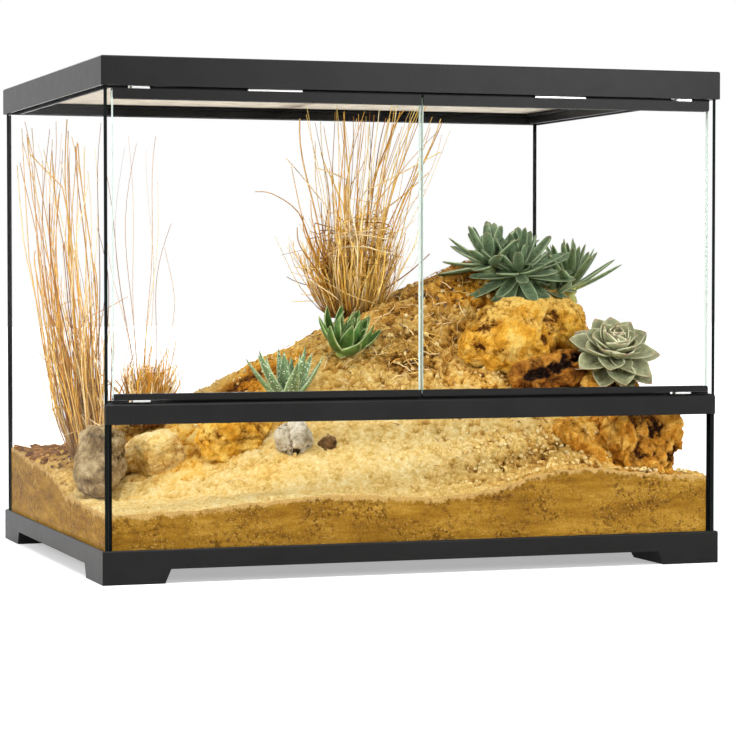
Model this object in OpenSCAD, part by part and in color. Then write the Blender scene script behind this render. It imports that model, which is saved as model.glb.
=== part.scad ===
// Glass reptile terrarium: raised base frame, glued glass box, front rail,
// two pivoting glass doors, lift-off screen cover and a dry-land landscape.
// Millimetres. Origin: middle of the footprint, on the floor. Front is -Y.
// Inside the modules, v is the distance behind the front face of the frames.

/* [Overall] */
// Width over the frames
body_w = 610; // [600:1:740]
// Depth over the frames
body_d = 460; // [455:1:560]
// Height from the floor to the top of the top frame
body_h = 475; // [465:1:600]

/* [Glass] */
// Thickness of the fixed panes
pane_t = 3.2; // [3:0.1:4.4]
// Thickness of the toughened door panes
door_t = 5; // [4:0.1:6.2]
// Space between a frame's wall and the glass standing in it
pane_gap = 0.4; // [0.2:0.1:0.8]
// Width of the sealant joint between two panes
joint_w = 0.8; // [0.5:0.1:1.5]
// Leg of the sealant bead inside the lower front corners
front_bead = 4; // [2:0.5:6]
// Leg of the sealant bead inside the back corners
back_bead = 2; // [1:0.5:4]

/* [Base frame] */
// Height of the base frame
base_h = 31; // [28:0.5:45]
// Wall of the two frames
frame_wall = 2.6; // [2:0.1:3.4]
// Height of the open space under the base, between its feet
foot_h = 13; // [10:0.5:18]
// Thickness of the shelf that carries the glass
shelf_t = 3; // [2:0.5:5]
// Width of that shelf from the frame's outer face
shelf_w = 20; // [16:1:40]
// Length of a foot along the front, at the floor
foot_front = 58; // [45:1:80]
// Length of a foot along the side, at the floor
foot_side = 69; // [45:1:90]
// How much longer a foot is at its top than at the floor
foot_flare = 7; // [0:0.5:12]
// Chamfer along the outer edges of the frames
edge_chamfer = 1; // [0.4:0.1:1.6]

/* [Top frame] */
// Height of the top frame
top_h = 26.5; // [24:0.5:40]
// Width of the top frame, outer face to inner face
top_w = 18; // [17:0.5:30]
// Thickness of its top flange
flange_t = 2.5; // [2:0.1:4]
// Depth of the cover's seat below the top of the frame
seat_drop = 15.3; // [14:0.1:20]
// Width of the ledge that carries the cover
ledge_w = 6; // [4:0.5:10]
// Thickness of that ledge
ledge_t = 2.5; // [1.5:0.1:4]
// Height of the header over the doors
header_t = 8; // [7:0.5:9]

/* [Front rail] */
// Height of the rail's underside above the floor
rail_z = 144.5; // [125:0.5:175]
// Height of the rail
rail_h = 19.8; // [19:0.1:26]
// Chamfer along the rail's upper front edge
rail_chamfer = 2.8; // [1:0.1:4]
// Length of the cap at each end of the rail
cap_l = 28; // [24:0.5:32]
// Setback of the rail's face behind the frames' front faces
rail_setback = 0.4; // [0:0.1:0.8]
// Wall of the rail's leg behind the lower front pane
rail_leg = 2.4; // [1.5:0.1:3.5]
// How far the lower front pane stands up into the rail
pane_grip = 10; // [8:0.5:11]

/* [Doors] */
// Space between a door and the outer face of the frame's end
door_side_gap = 11; // [9:0.5:14]
// Gap between the two doors
door_mid_gap = 2; // [1.5:0.1:5]
// Setback of a door's strips behind the frames' front faces
door_recess = 1; // [0.5:0.1:2]
// Wall of the strips along a door's top and bottom edges
strip_wall = 1.7; // [1.2:0.1:2.4]
// Height of the strip along the top edge
top_strip_h = 9.5; // [8:0.1:14]
// Height of the strip along the bottom edge
bottom_strip_h = 5.7; // [5:0.1:10]
// Corner radius of the strips' outer ends
strip_r = 2; // [1:0.1:2.5]
// Slip between a strip and the glass in it
strip_slip = 0.05; // [0.03:0.01:0.15]
// Space between a closed door and the stops behind it
stop_gap = 0.3; // [0.2:0.1:1]
// Thickness of the stop lips
stop_t = 2.5; // [1.5:0.1:3]
// Height of the stop lip on the rail
rail_stop_h = 6.7; // [4:0.1:9]
// Drop of the stop lip under the header
header_stop_h = 10; // [6:0.1:12]
// Distance from the frame's end to where the stop lips begin
stop_inset = 66; // [64:1:90]

/* [Door pivots] */
// Distance of a pivot from the frame's end
pivot_inset = 37; // [34:0.5:42]
// Diameter of the pivot pins
pin_d = 3; // [2.4:0.1:3.6]
// Running clearance round a pin, on the radius
pin_clear = 0.05; // [0.02:0.01:0.1]
// Wall of the pivot bushes
bush_wall = 1.45; // [1:0.05:1.6]
// Length of the bushes
bush_l = 7; // [5:0.5:7.5]
// Fit of pins, screws and bushes in what holds them, on the radius
fit_slip = 0.02; // [0.01:0.01:0.05]
// Length of the pivot shoes
shoe_l = 17; // [16:0.5:24]
// Thickness of the pivot shoes
shoe_t = 1.8; // [1.4:0.1:2]
// Space between a lower shoe and the rail
shoe_gap = 0.2; // [0.1:0.1:0.5]
// Corner radius of the shoes
shoe_r = 1.5; // [0.5:0.1:2]
// Distance of the shoe screws from the pin
screw_pitch = 6; // [5:0.5:6.5]

/* [Magnetic catches] */
// Distance of a catch from the middle of the terrarium
catch_at = 141; // [100:1:200]
// Length of the steel catch plates
plate_l = 52; // [30:1:70]
// Width of the catch plates
plate_w = 3.5; // [2:0.1:5]
// Thickness of the catch plates
plate_t = 2.2; // [1:0.1:2.4]
// Space between a catch plate and the top frame
plate_gap = 0.3; // [0.2:0.05:0.6]
// Length of the magnets
magnet_l = 40; // [20:1:50]
// Height of the magnets
magnet_h = 4; // [2:0.5:6]

/* [Screen cover] */
// Width of the cover's bars
bar_w = 14; // [10:0.5:20]
// Height of the cover's bars
bar_h = 6; // [4:0.5:10]
// Clearance round the cover
cover_gap = 0.6; // [0.3:0.1:1.5]
// Space between the screen and its ledge
seat_gap = 0.2; // [0.1:0.05:0.3]
// Thickness of the wire screen
screen_t = 1; // [0.6:0.1:1.5]
// Width of a wire strand of the screen
wire_w = 0.9; // [0.6:0.1:1.5]
// Openings of the screen along its width
screen_nx = 20; // [8:1:20]
// Openings of the screen along its depth
screen_ny = 15; // [6:1:15]

/* [Landscape] */
// Height of the sand at the front left, above the floor
sand_front = 62; // [45:1:70]
// Rise of the plain sand from front to back
sand_rise = 14; // [0:1:30]
// Height that the heap adds to the sand
mound_h = 234; // [200:1:240]
// Space between the sand and the glass
sand_gap = 0.3; // [0.2:0.1:1]
// Space between a stone and the sand round it
stone_gap = 0.3; // [0.2:0.1:1]
// Depth to which a plant's crown is set in the sand
crown_depth = 10; // [6:1:16]

/* [Hidden] */

$fn = 48;
far = 1000;
eps = 0.01;

// Frames and glass box
front_y = -body_d / 2;
shelf_z = foot_h + shelf_t;
top_z = body_h - top_h;
seat_z = body_h - seat_drop;
pane_inset = frame_wall + pane_gap;
inner_inset = pane_inset + pane_t;
inner_x = body_w / 2 - inner_inset;
pane_top = body_h - flange_t - 1;
frame_inner_x = body_w / 2 - top_w;
frame_inner_y = body_d / 2 - top_w;

// Doors, strips and rail: v runs back from the front face of the frames
strip_t = door_t + 2 * (strip_wall + strip_slip);
door_v = door_recess + strip_t / 2;
door_back_v = door_recess + strip_t;
stop_v = door_back_v + stop_gap;
rail_top = rail_z + rail_h;
rail_back_v = stop_v + stop_t;
rail_slip = 0.2;
rail_slot_v = pane_inset - rail_slip;
rail_slot_w = pane_t + 2 * rail_slip;
rail_web_drop = 5;
rail_leg_drop = 9;
rail_leg_rise = 1.5;
rail_slot_room = 0.3;
leg_back_v = rail_slot_v + rail_slot_w + rail_leg;
cap_skin_gap = 0.5;
rail_end = body_w / 2 - cap_l - (pane_inset + cap_skin_gap - frame_wall);
cap_end = inner_x - pane_gap;
skin_end = body_w / 2 - pane_inset - cap_skin_gap;
skin_t = pane_inset - rail_setback - pane_gap;
door_end = body_w / 2 - door_side_gap;
door_bottom = rail_top + shoe_gap + shoe_t;
door_top = top_z - plate_gap - plate_t;
glass_bottom = door_bottom + strip_wall;
glass_top = door_top - strip_wall;
pivot_x = body_w / 2 - pivot_inset;
stop_end = body_w / 2 - stop_inset;
bush_d = pin_d + 2 * (pin_clear + bush_wall);
pin_inset = 1;

// Shoe screws
screw_d = 2;
screw_head_d = 3.6;
screw_head_h = 1;

// Screen cover
cover_x = frame_inner_x - cover_gap;
cover_y = frame_inner_y - cover_gap;
screen_z = seat_z + seat_gap;
screen_edge = 2;

// The sand: one heap, long to the left, and the swells round it: [x, v], height, [spreads]
mound_x = body_w / 2 - 148;
mound_v = 270;
mound_left = body_w - 130;
mound_right = 175;
mound_reach_v = body_d - 197;
mound_round = 0.055;
rise_run = 450;
swells = [
    [[body_w / 2 - 400, 40], 14, [75, 80]],
    [[body_w / 2 - 140, 20], 33, [72, 70]],
    [[body_w / 2 - 15, 20], 16, [45, 60]],
    [[-body_w / 2 + 20, 420], 22, [60, 80]],
    [[body_w / 2 - 66, 212], 72, [38, 50]]
];
function swell_z(x, v, s) =
    s[1] * exp(-pow((x - s[0][0]) / s[2][0], 2) / 2 - pow((v - s[0][1]) / s[2][1], 2) / 2);
function heap_r(x, v) = norm([
    (x - mound_x) / (x < mound_x ? mound_left : mound_right), (v - mound_v) / mound_reach_v, mound_round
]);
function sand_z(x, v) = sand_front + sand_rise * v / rise_run + mound_h * max(0, 1 - heap_r(x, v))
    + [for (s = swells) swell_z(x, v, s)] * [for (s = swells) 1];

// A place given by x, v and its height over the sand there
function over_sand(x, v, height) = [x, v, sand_z(x, v) + height];

// Stones: place of the middle, [length, depth, height], turn, seed, squareness
grey_rock_at = [over_sand(-body_w / 2 + 35, 158, 33.8), [54, 52, 66], [0, 8, 0], 1, 0.8];
layered_slab_at = [over_sand(-body_w / 2 + 93, 170, 4.6), [56, 60, 46], [0, -16, 0], 2, 0.6];
orange_rock_at = [over_sand(body_w / 2 - 450, 138, 5.2), [76, 50, 54], [0, -26, -10], 4, 0.7];
white_rock_at = [over_sand(body_w / 2 - 400, 98, 8.8), [38, 34, 42], [0, 0, 10], 2, 0.9];
dark_stone_at = [over_sand(body_w / 2 - 367, 92, -3.9), [23, 23, 26], [0, 0, 30], 3, 0.9];
ridge_boulder_left_at = [over_sand(body_w / 2 - 169, 148, 14.6), [96, 68, 84], [0, -12, 10], 5, 0.8];
ridge_boulder_right_at = [over_sand(body_w / 2 - 95, 172, -4), [54, 64, 64], [0, 14, 0], 6, 0.8];
ridge_stone_at = [over_sand(body_w / 2 - 126, 108, 15), [64, 42, 38], [0, -24, 0], 7, 0.8];
front_outcrop_at = [over_sand(body_w / 2 - 64, 68, 9.7), [90, 110, 90], [0, 0, 0], 8, 0.6];
front_slab_at = [over_sand(body_w / 2 - 127, 38, -14.6), [30, 44, 82], [0, -32, 0], 9, 0.6];
bark_litter_at = [over_sand(-body_w / 2 + 46, 392, 3.4), [62, 66, 22], [0, 8, 20], 10, 0.8];

// Plants: place of the crown's foot, reach, height, leaves, leaf width, lean to the front
green_agave_at = [over_sand(body_w / 2 - 312, 206, -0.3), 36, 60, 18, 13, 15];
spotted_haworthia_at = [over_sand(body_w / 2 - 393, 150, 4.6), 42, 72, 18, 10, 0];
blue_agave_large_at = [over_sand(body_w / 2 - 152, 220, -0.5), 72, 76, 36, 14, 0];
blue_agave_small_at = [over_sand(body_w / 2 - 62, 218, 2.4), 42, 80, 24, 11, 0];
echeveria_at = [front_outcrop_at[0] + [-4, 28, 60], 50, 66, 24, 30, 35];

// Grass tufts: place of the foot, foot radius, top centre, top radii, stems
tall_grass_left_at = [
    over_sand(-body_w / 2 + 37, 226, 5), 13, [-body_w / 2 + 40, 320, 430], [30, 90], 44
];
short_grass_at = [
    over_sand(-body_w / 2 + 92, 236, 11), 12, [-body_w / 2 + 98, 240, 205], [20, 20], 26
];
tall_grass_centre_at = [
    over_sand(body_w / 2 - 277, 285, -1.3), 24, [body_w / 2 - 250, 290, 430], [95, 80], 56
];

black_plastic = [0.16, 0.16, 0.16];
clear_glass = [0.75, 0.86, 0.82, 0.35];
sealant_black = [0.05, 0.05, 0.05];
satin_metal = [0.75, 0.76, 0.78];

// ---------- shared shapes ----------

// Moves a child from the front face's own depth v to the part's frame
module behind_front() {
    translate([0, front_y, 0]) children();
}

// A profile of [v, z] points, run along X from x0 to x1
module bar_along_x(points, x0, x1) {
    translate([x0, 0, 0]) rotate([90, 0, 90]) linear_extrude(x1 - x0) polygon(points);
}

// One side of a frame, mitred at both ends: profile [inward, z], side length, inset of its face
module mitred_bar(points, length, inset) {
    reach = 60;
    intersection() {
        translate([0, -inset, 0]) bar_along_x(points, -length / 2, length / 2);
        linear_extrude(far) polygon([
            [-length / 2, -inset], [length / 2, -inset],
            [length / 2 - reach, reach - inset], [-length / 2 + reach, reach - inset]
        ]);
    }
}

// A frame of four mitred bars with one profile, w by d over its outer faces
module mitred_ring(points, w, d) {
    for (turn = [0, 180]) rotate([0, 0, turn]) mitred_bar(points, w, d / 2);
    for (turn = [90, 270]) rotate([0, 0, turn]) mitred_bar(points, d, w / 2);
}

module box(x0, x1, v0, v1, z0, z1) {
    translate([x0, v0 + front_y, z0]) cube([x1 - x0, v1 - v0, z1 - z0]);
}

// A flat plate with round corners, centred on the origin and standing on z = 0
module round_plate(l, w, t, r) {
    linear_extrude(t) union() {
        square([l - 2 * r, w], center = true);
        square([l, w - 2 * r], center = true);
        for (sx = [-1, 1], sy = [-1, 1]) translate([sx * (l / 2 - r), sy * (w / 2 - r)]) circle(r);
    }
}

// The right-hand side for side = 1, its mirror image for side = -1
module on_side(side) {
    mirror([side < 0 ? 1 : 0, 0, 0]) children();
}

// ---------- base frame and glass ----------

module foot_solid(inset, top) {
    intersection() {
        rotate([90, 0, 0]) translate([0, 0, -far / 2]) linear_extrude(far) polygon([
            [inset, -eps], [foot_front - inset, -eps],
            [foot_front + foot_flare - inset, top], [inset, top]
        ]);
        rotate([90, 0, 90]) linear_extrude(far) polygon([
            [inset, -eps], [foot_side - inset, -eps],
            [foot_side + foot_flare - inset, top], [inset, top]
        ]);
        translate([0, 0, inset > 0 ? -eps : 0]) cube([far, far, top + eps]);
    }
}

// A hollow foot at the origin's corner, with one rib along each half
module foot() {
    difference() {
        foot_solid(0, shelf_z);
        foot_solid(frame_wall, foot_h);
    }
    rib_t = 2;
    intersection() {
        foot_solid(frame_wall / 2, foot_h + shelf_t / 2);
        union() {
            translate([0, foot_side / 2 - rib_t / 2, 0]) cube([far, rib_t, far]);
            translate([foot_front / 2 - rib_t / 2, 0, 0]) cube([rib_t, far, far]);
        }
    }
}

module base_frame() {
    c = edge_chamfer;
    color(black_plastic) union() {
        mitred_ring([
            [0, foot_h], [0, base_h - c], [c, base_h], [frame_wall, base_h],
            [frame_wall, shelf_z], [shelf_w, shelf_z], [shelf_w, foot_h]
        ], body_w, body_d);
        for (sx = [0, 1], sy = [0, 1]) mirror([sx, 0, 0]) mirror([0, sy, 0])
            translate([-body_w / 2, -body_d / 2, 0]) foot();
    }
}

module bottom_pane() {
    back_v = body_d - inner_inset - joint_w;
    color(clear_glass)
        box(-inner_x + joint_w, inner_x - joint_w, inner_inset + joint_w, back_v, shelf_z, shelf_z + pane_t);
}

// The glued joint round the bottom pane
module floor_sealant() {
    color(sealant_black) difference() {
        box(-inner_x, inner_x, inner_inset, body_d - inner_inset, shelf_z, shelf_z + pane_t);
        box(-inner_x + joint_w, inner_x - joint_w, inner_inset + joint_w,
            body_d - inner_inset - joint_w, shelf_z - 1, shelf_z + pane_t + 1);
    }
}

module side_pane(side) {
    color(clear_glass) on_side(side)
        box(inner_x, inner_x + pane_t, pane_inset, body_d - pane_inset, shelf_z, pane_top);
}

module left_pane() { side_pane(-1); }
module right_pane() { side_pane(1); }

module back_pane() {
    color(clear_glass) box(-inner_x + joint_w, inner_x - joint_w, body_d - inner_inset,
        body_d - pane_inset, shelf_z, pane_top);
}

module front_lower_pane() {
    color(clear_glass) box(-inner_x + joint_w, inner_x - joint_w, pane_inset, inner_inset,
        shelf_z, rail_z + pane_grip);
}

// A sealant bead at the right-hand end of a pane that lies from v0 to v1;
// its inner fillet of the given leg lies on the side that inward points to
module bead(v0, v1, inward, leg, top) {
    v_in = inward > 0 ? v1 : v0;
    v_out = inward > 0 ? v0 : v1;
    translate([0, front_y, shelf_z + pane_t]) linear_extrude(top - shelf_z - pane_t) polygon([
        [inner_x, v_out], [inner_x, v_in + inward * leg], [inner_x - leg, v_in],
        [inner_x - joint_w, v_in], [inner_x - joint_w, v_out]
    ]);
}

module corner_sealant() {
    back_v = body_d - inner_inset;
    color(sealant_black) for (side = [-1, 1]) on_side(side) {
        bead(pane_inset, inner_inset, 1, front_bead, rail_z);
        bead(back_v, back_v + pane_t, -1, back_bead, top_z - 1);
    }
}

// ---------- front rail ----------

rail_profile = [
    [rail_setback, rail_z], [rail_setback, rail_top - rail_chamfer],
    [rail_setback + rail_chamfer, rail_top], [rail_back_v, rail_top],
    [rail_back_v, rail_top - rail_web_drop], [leg_back_v, rail_top - rail_leg_drop],
    [leg_back_v, rail_z + rail_leg_rise], [rail_slot_v + rail_slot_w, rail_z + rail_leg_rise],
    [rail_slot_v + rail_slot_w, rail_z + pane_grip + rail_slot_room],
    [rail_slot_v, rail_z + pane_grip + rail_slot_room], [rail_slot_v, rail_z]
];

module at_pivot(side) {
    on_side(side) translate([pivot_x, front_y + door_v, 0]) children();
}

module front_rail() {
    color(black_plastic) difference() {
        union() {
            behind_front() bar_along_x(rail_profile, -rail_end, rail_end);
            box(-stop_end, stop_end, stop_v, rail_back_v, rail_top - 1, rail_top + rail_stop_h);
        }
        for (side = [-1, 1]) at_pivot(side) translate([0, 0, rail_top - bush_l])
            cylinder(h = bush_l + 1, d = bush_d + 2 * fit_slip);
    }
}

module rail_end_cap(side) {
    skin = [
        [rail_setback, rail_z], [rail_setback, rail_top - rail_chamfer],
        [rail_setback + skin_t, rail_top - rail_chamfer + skin_t], [rail_setback + skin_t, rail_z]
    ];
    color(black_plastic) on_side(side) behind_front() union() {
        bar_along_x(rail_profile, rail_end, cap_end);
        bar_along_x(skin, cap_end - 1, skin_end);
    }
}

module rail_end_cap_left() { rail_end_cap(-1); }
module rail_end_cap_right() { rail_end_cap(1); }

module bush() {
    difference() {
        cylinder(h = bush_l, d = bush_d);
        translate([0, 0, -1]) cylinder(h = bush_l + 2, d = pin_d + 2 * pin_clear);
    }
}

module lower_hinge_bushes() {
    color("dimgray") for (side = [-1, 1]) at_pivot(side) translate([0, 0, rail_top - bush_l]) bush();
}

module upper_hinge_bushes() {
    color("dimgray") for (side = [-1, 1]) at_pivot(side) translate([0, 0, top_z]) bush();
}

// ---------- top frame ----------

catch_v = door_back_v - plate_w;

module top_frame() {
    c = edge_chamfer;
    header_end = inner_x - pane_gap;
    color(black_plastic) difference() {
        union() {
            mitred_ring([
                [0, top_z], [0, body_h - c], [c, body_h], [top_w, body_h],
                [top_w, seat_z], [top_w + ledge_w, seat_z], [top_w + ledge_w, seat_z - ledge_t],
                [top_w, seat_z - ledge_t], [top_w, top_z], [top_w - frame_wall, top_z],
                [top_w - frame_wall, body_h - flange_t], [frame_wall, body_h - flange_t],
                [frame_wall, top_z]
            ], body_w, body_d);
            box(-header_end, header_end, frame_wall - eps, top_w - frame_wall + eps,
                top_z, top_z + header_t);
            box(-stop_end, stop_end, stop_v, stop_v + stop_t, top_z - header_stop_h, top_z + 1);
        }
        for (side = [-1, 1]) at_pivot(side) translate([0, 0, top_z - 1])
            cylinder(h = bush_l + 1, d = bush_d + 2 * fit_slip);
        for (side = [-1, 1]) on_side(side)
            box(catch_at - magnet_l / 2 - fit_slip, catch_at + magnet_l / 2 + fit_slip,
                catch_v - fit_slip, catch_v + plate_w + fit_slip, top_z - 1, top_z + magnet_h);
    }
}

module door_magnets() {
    color("gray") for (side = [-1, 1]) on_side(side)
        box(catch_at - magnet_l / 2, catch_at + magnet_l / 2, catch_v, catch_v + plate_w,
            top_z, top_z + magnet_h);
}

// ---------- doors ----------

module door_glass(side) {
    color(clear_glass) on_side(side)
        box(door_mid_gap / 2, door_end, door_v - door_t / 2, door_v + door_t / 2,
            glass_bottom, glass_top);
}

module door_glass_left() { door_glass(-1); }
module door_glass_right() { door_glass(1); }

// A strip's outline in x and z: one outer corner is round, at the top or the bottom
module strip_outline(z0, z1, round_top) {
    zc = round_top ? z1 - strip_r : z0 + strip_r;
    rotate([90, 0, 0]) linear_extrude(far, center = true) union() {
        translate([door_mid_gap / 2, z0]) square([door_end - strip_r - door_mid_gap / 2, z1 - z0]);
        translate([door_mid_gap / 2, round_top ? z0 : z0 + strip_r])
            square([door_end - door_mid_gap / 2, z1 - z0 - strip_r]);
        translate([door_end - strip_r, zc]) circle(strip_r);
    }
}

module door_strip(side, z0, z1, web_at_top) {
    slot_v0 = door_recess + strip_wall;
    slot_v1 = slot_v0 + door_t + 2 * strip_slip;
    slot_z0 = web_at_top ? z0 - 1 : z0 + strip_wall;
    slot_z1 = web_at_top ? z1 - strip_wall : z1 + 1;
    hole_z = web_at_top ? z1 - strip_wall - 1 : z0 - 1;
    color(black_plastic) on_side(side) difference() {
        intersection() {
            box(door_mid_gap / 2, door_end, door_recess, door_back_v, z0, z1);
            strip_outline(z0, z1, !web_at_top);
        }
        box(0, body_w, slot_v0, slot_v1, slot_z0, slot_z1);
        for (dx = [-screw_pitch, screw_pitch]) translate([pivot_x + dx, front_y + door_v, hole_z])
            cylinder(h = strip_wall + 2, d = screw_d + 2 * fit_slip);
    }
}

module door_top_strip_left() { door_strip(-1, door_top - top_strip_h, door_top, true); }
module door_top_strip_right() { door_strip(1, door_top - top_strip_h, door_top, true); }
module door_bottom_strip_left() { door_strip(-1, door_bottom, door_bottom + bottom_strip_h, false); }
module door_bottom_strip_right() { door_strip(1, door_bottom, door_bottom + bottom_strip_h, false); }

// A pivot shoe lying on z = 0 with its screw heads' seats in that face
module shoe() {
    difference() {
        round_plate(shoe_l, strip_t, shoe_t, shoe_r);
        translate([0, 0, -1]) cylinder(h = shoe_t + 2, d = pin_d + 2 * fit_slip);
        for (dx = [-screw_pitch, screw_pitch]) translate([dx, 0, 0]) {
            translate([0, 0, -1]) cylinder(h = shoe_t + 2, d = screw_d + 2 * fit_slip);
            translate([0, 0, -1]) cylinder(h = screw_head_h + 1, d = screw_head_d + 2 * fit_slip);
        }
    }
}

module lower_hinge_shoe(side) {
    color(satin_metal) at_pivot(side) translate([0, 0, door_bottom - shoe_t]) shoe();
}

module upper_hinge_shoe(side) {
    color(satin_metal) at_pivot(side) translate([0, 0, door_top + shoe_t]) mirror([0, 0, 1]) shoe();
}

module lower_hinge_shoe_left() { lower_hinge_shoe(-1); }
module lower_hinge_shoe_right() { lower_hinge_shoe(1); }
module upper_hinge_shoe_left() { upper_hinge_shoe(-1); }
module upper_hinge_shoe_right() { upper_hinge_shoe(1); }

module hinge_pins(side) {
    pin_bottom = rail_top - bush_l + pin_inset;
    pin_top = top_z + bush_l - pin_inset;
    color("silver") at_pivot(side) {
        translate([0, 0, pin_bottom]) cylinder(h = door_bottom - pin_bottom, d = pin_d);
        translate([0, 0, door_top]) cylinder(h = pin_top - door_top, d = pin_d);
    }
}

module hinge_pins_left() { hinge_pins(-1); }
module hinge_pins_right() { hinge_pins(1); }

// A shoe screw with its head's face on z = 0 and its shank pointing up
module shoe_screw() {
    socket_d = 1.6;
    shank_end = shoe_t + strip_wall - 0.2;
    difference() {
        union() {
            cylinder(h = screw_head_h, d = screw_head_d);
            cylinder(h = shank_end, d = screw_d);
        }
        translate([0, 0, -1]) cylinder(h = 1.6, d = socket_d, $fn = 6);
    }
}

module hinge_screws(side) {
    color("silver") at_pivot(side) for (dx = [-screw_pitch, screw_pitch]) {
        translate([dx, 0, door_bottom - shoe_t]) shoe_screw();
        translate([dx, 0, door_top + shoe_t]) mirror([0, 0, 1]) shoe_screw();
    }
}

module hinge_screws_left() { hinge_screws(-1); }
module hinge_screws_right() { hinge_screws(1); }

module catch_plate(side) {
    color(satin_metal) on_side(side)
        box(catch_at - plate_l / 2, catch_at + plate_l / 2, catch_v, catch_v + plate_w,
            door_top, door_top + plate_t);
}

module catch_plate_left() { catch_plate(-1); }
module catch_plate_right() { catch_plate(1); }

// ---------- screen cover ----------

module screen_frame() {
    z0 = screen_z + screen_t;
    color(black_plastic) difference() {
        translate([-cover_x, -cover_y, z0]) cube([2 * cover_x, 2 * cover_y, bar_h]);
        for (side = [-1, 1]) on_side(side)
            translate([bar_w / 2, -cover_y + bar_w, z0 - 1])
                cube([cover_x - 1.5 * bar_w, 2 * (cover_y - bar_w), bar_h + 2]);
    }
}

module screen_mesh() {
    w = 2 * (cover_x - screen_edge);
    d = 2 * (cover_y - screen_edge);
    rim = ledge_w;
    step_x = (w - 2 * rim + wire_w) / screen_nx;
    step_y = (d - 2 * rim + wire_w) / screen_ny;
    color("lightgray") translate([0, 0, screen_z]) linear_extrude(screen_t) difference() {
        square([w, d], center = true);
        for (i = [0 : screen_nx - 1], j = [0 : screen_ny - 1])
            translate([-w / 2 + rim + i * step_x, -d / 2 + rim + j * step_y])
                square([step_x - wire_w, step_y - wire_w]);
    }
}

// ---------- landscape ----------

// The sand as a closed grid: a top that follows sand_z, plain sides and a flat bottom
module sand_block() {
    nx = 26;
    nv = 20;
    x0 = -inner_x + sand_gap;
    x1 = inner_x - sand_gap;
    v0 = inner_inset + sand_gap;
    v1 = body_d - inner_inset - sand_gap;
    bottom = shelf_z + pane_t;
    top = [for (j = [0 : nv], i = [0 : nx])
        let (x = x0 + (x1 - x0) * i / nx, v = v0 + (v1 - v0) * j / nv) [x, v, sand_z(x, v)]];
    base = [[x0, v0, bottom], [x1, v0, bottom], [x1, v1, bottom], [x0, v1, bottom]];
    b = len(top);
    last = nx + (nx + 1) * nv;
    behind_front() polyhedron(points = concat(top, base), faces = concat(
        [for (j = [0 : nv - 1], i = [0 : nx - 1])
            let (k = i + (nx + 1) * j) [k, k + nx + 2, k + 1]],
        [for (j = [0 : nv - 1], i = [0 : nx - 1])
            let (k = i + (nx + 1) * j) [k, k + nx + 1, k + nx + 2]],
        [[b, b + 1, b + 2, b + 3]],
        [concat([b + 1, b], [for (i = [0 : nx]) i])],
        [concat([b + 3, b + 2], [for (i = [nx : -1 : 0]) last - nx + i])],
        [concat([b + 2, b + 1], [for (j = [0 : nv]) nx + (nx + 1) * j])],
        [concat([b, b + 3], [for (j = [nv : -1 : 0]) (nx + 1) * j])]
    ));
}

// A stone's outline: a ball with bumps that follow its seed
function stone_r(az, el, seed) = 1 + 0.12 * sin(3 * az + 67 * seed) * cos(2 * el + 41 * seed)
    + 0.07 * cos(2 * az - 113 * seed);

// A sine or cosine bent towards a square outline as squareness falls below 1
function squared(t, squareness) = sign(t) * pow(abs(t), squareness);

module stone(spec, grow) {
    size = spec[1];
    seed = spec[3];
    q = spec[4];
    rings = [-65, -35, -5, 30, 62];
    around = 9;
    points = concat(
        [[0, 0, -size[2] / 2 - grow]],
        [for (el = rings, k = [0 : around - 1]) let (az = 360 * k / around, r = stone_r(az, el, seed))
            [r * squared(cos(el), q) * squared(cos(az), q) * size[0] / 2 + sign(cos(az)) * grow,
             r * squared(cos(el), q) * squared(sin(az), q) * size[1] / 2 + sign(sin(az)) * grow,
             squared(sin(el), q) * size[2] / 2 + sign(sin(el)) * grow]],
        [[0, 0, size[2] / 2 + grow]]
    );
    top = len(points) - 1;
    faces = concat(
        [for (k = [0 : around - 1]) [0, 1 + k, 1 + (k + 1) % around]],
        [for (j = [0 : len(rings) - 2], k = [0 : around - 1])
            let (a = 1 + j * around + k, b = 1 + j * around + (k + 1) % around)
            [a, a + around, b + around, b]],
        [for (k = [0 : around - 1])
            [top, top - around + (k + 1) % around, top - around + k]]
    );
    behind_front() translate(spec[0]) rotate(spec[2]) hull() polyhedron(points = points, faces = faces);
}

// A plant's crown is thicker where its leaves are wider
function crown_r(spec) = 4 + 0.2 * spec[4];

// The space that a plant takes in the sand: a pit for its crown and a dish for its leaves
module planting_pit(spec) {
    reach = spec[1] + 4;
    r = crown_r(spec) + stone_gap;
    behind_front() translate(spec[0]) rotate([spec[5], 0, 0]) rotate_extrude($fn = 12) polygon([
        [0, -crown_depth], [r, -crown_depth], [r, 0],
        [reach, reach * 0.15], [reach, far], [0, far]
    ]);
}

// The hole that a grass tuft's foot stands in, with room for its lower stems
module tuft_pit(spec) {
    r = spec[1] + 1;
    behind_front() translate(spec[0]) cylinder(h = 40, r1 = r, r2 = r + 12, $fn = 12);
    behind_front() translate(spec[0] - [0, 0, crown_depth])
        cylinder(h = crown_depth + 1, r = r, $fn = 12);
}

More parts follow.
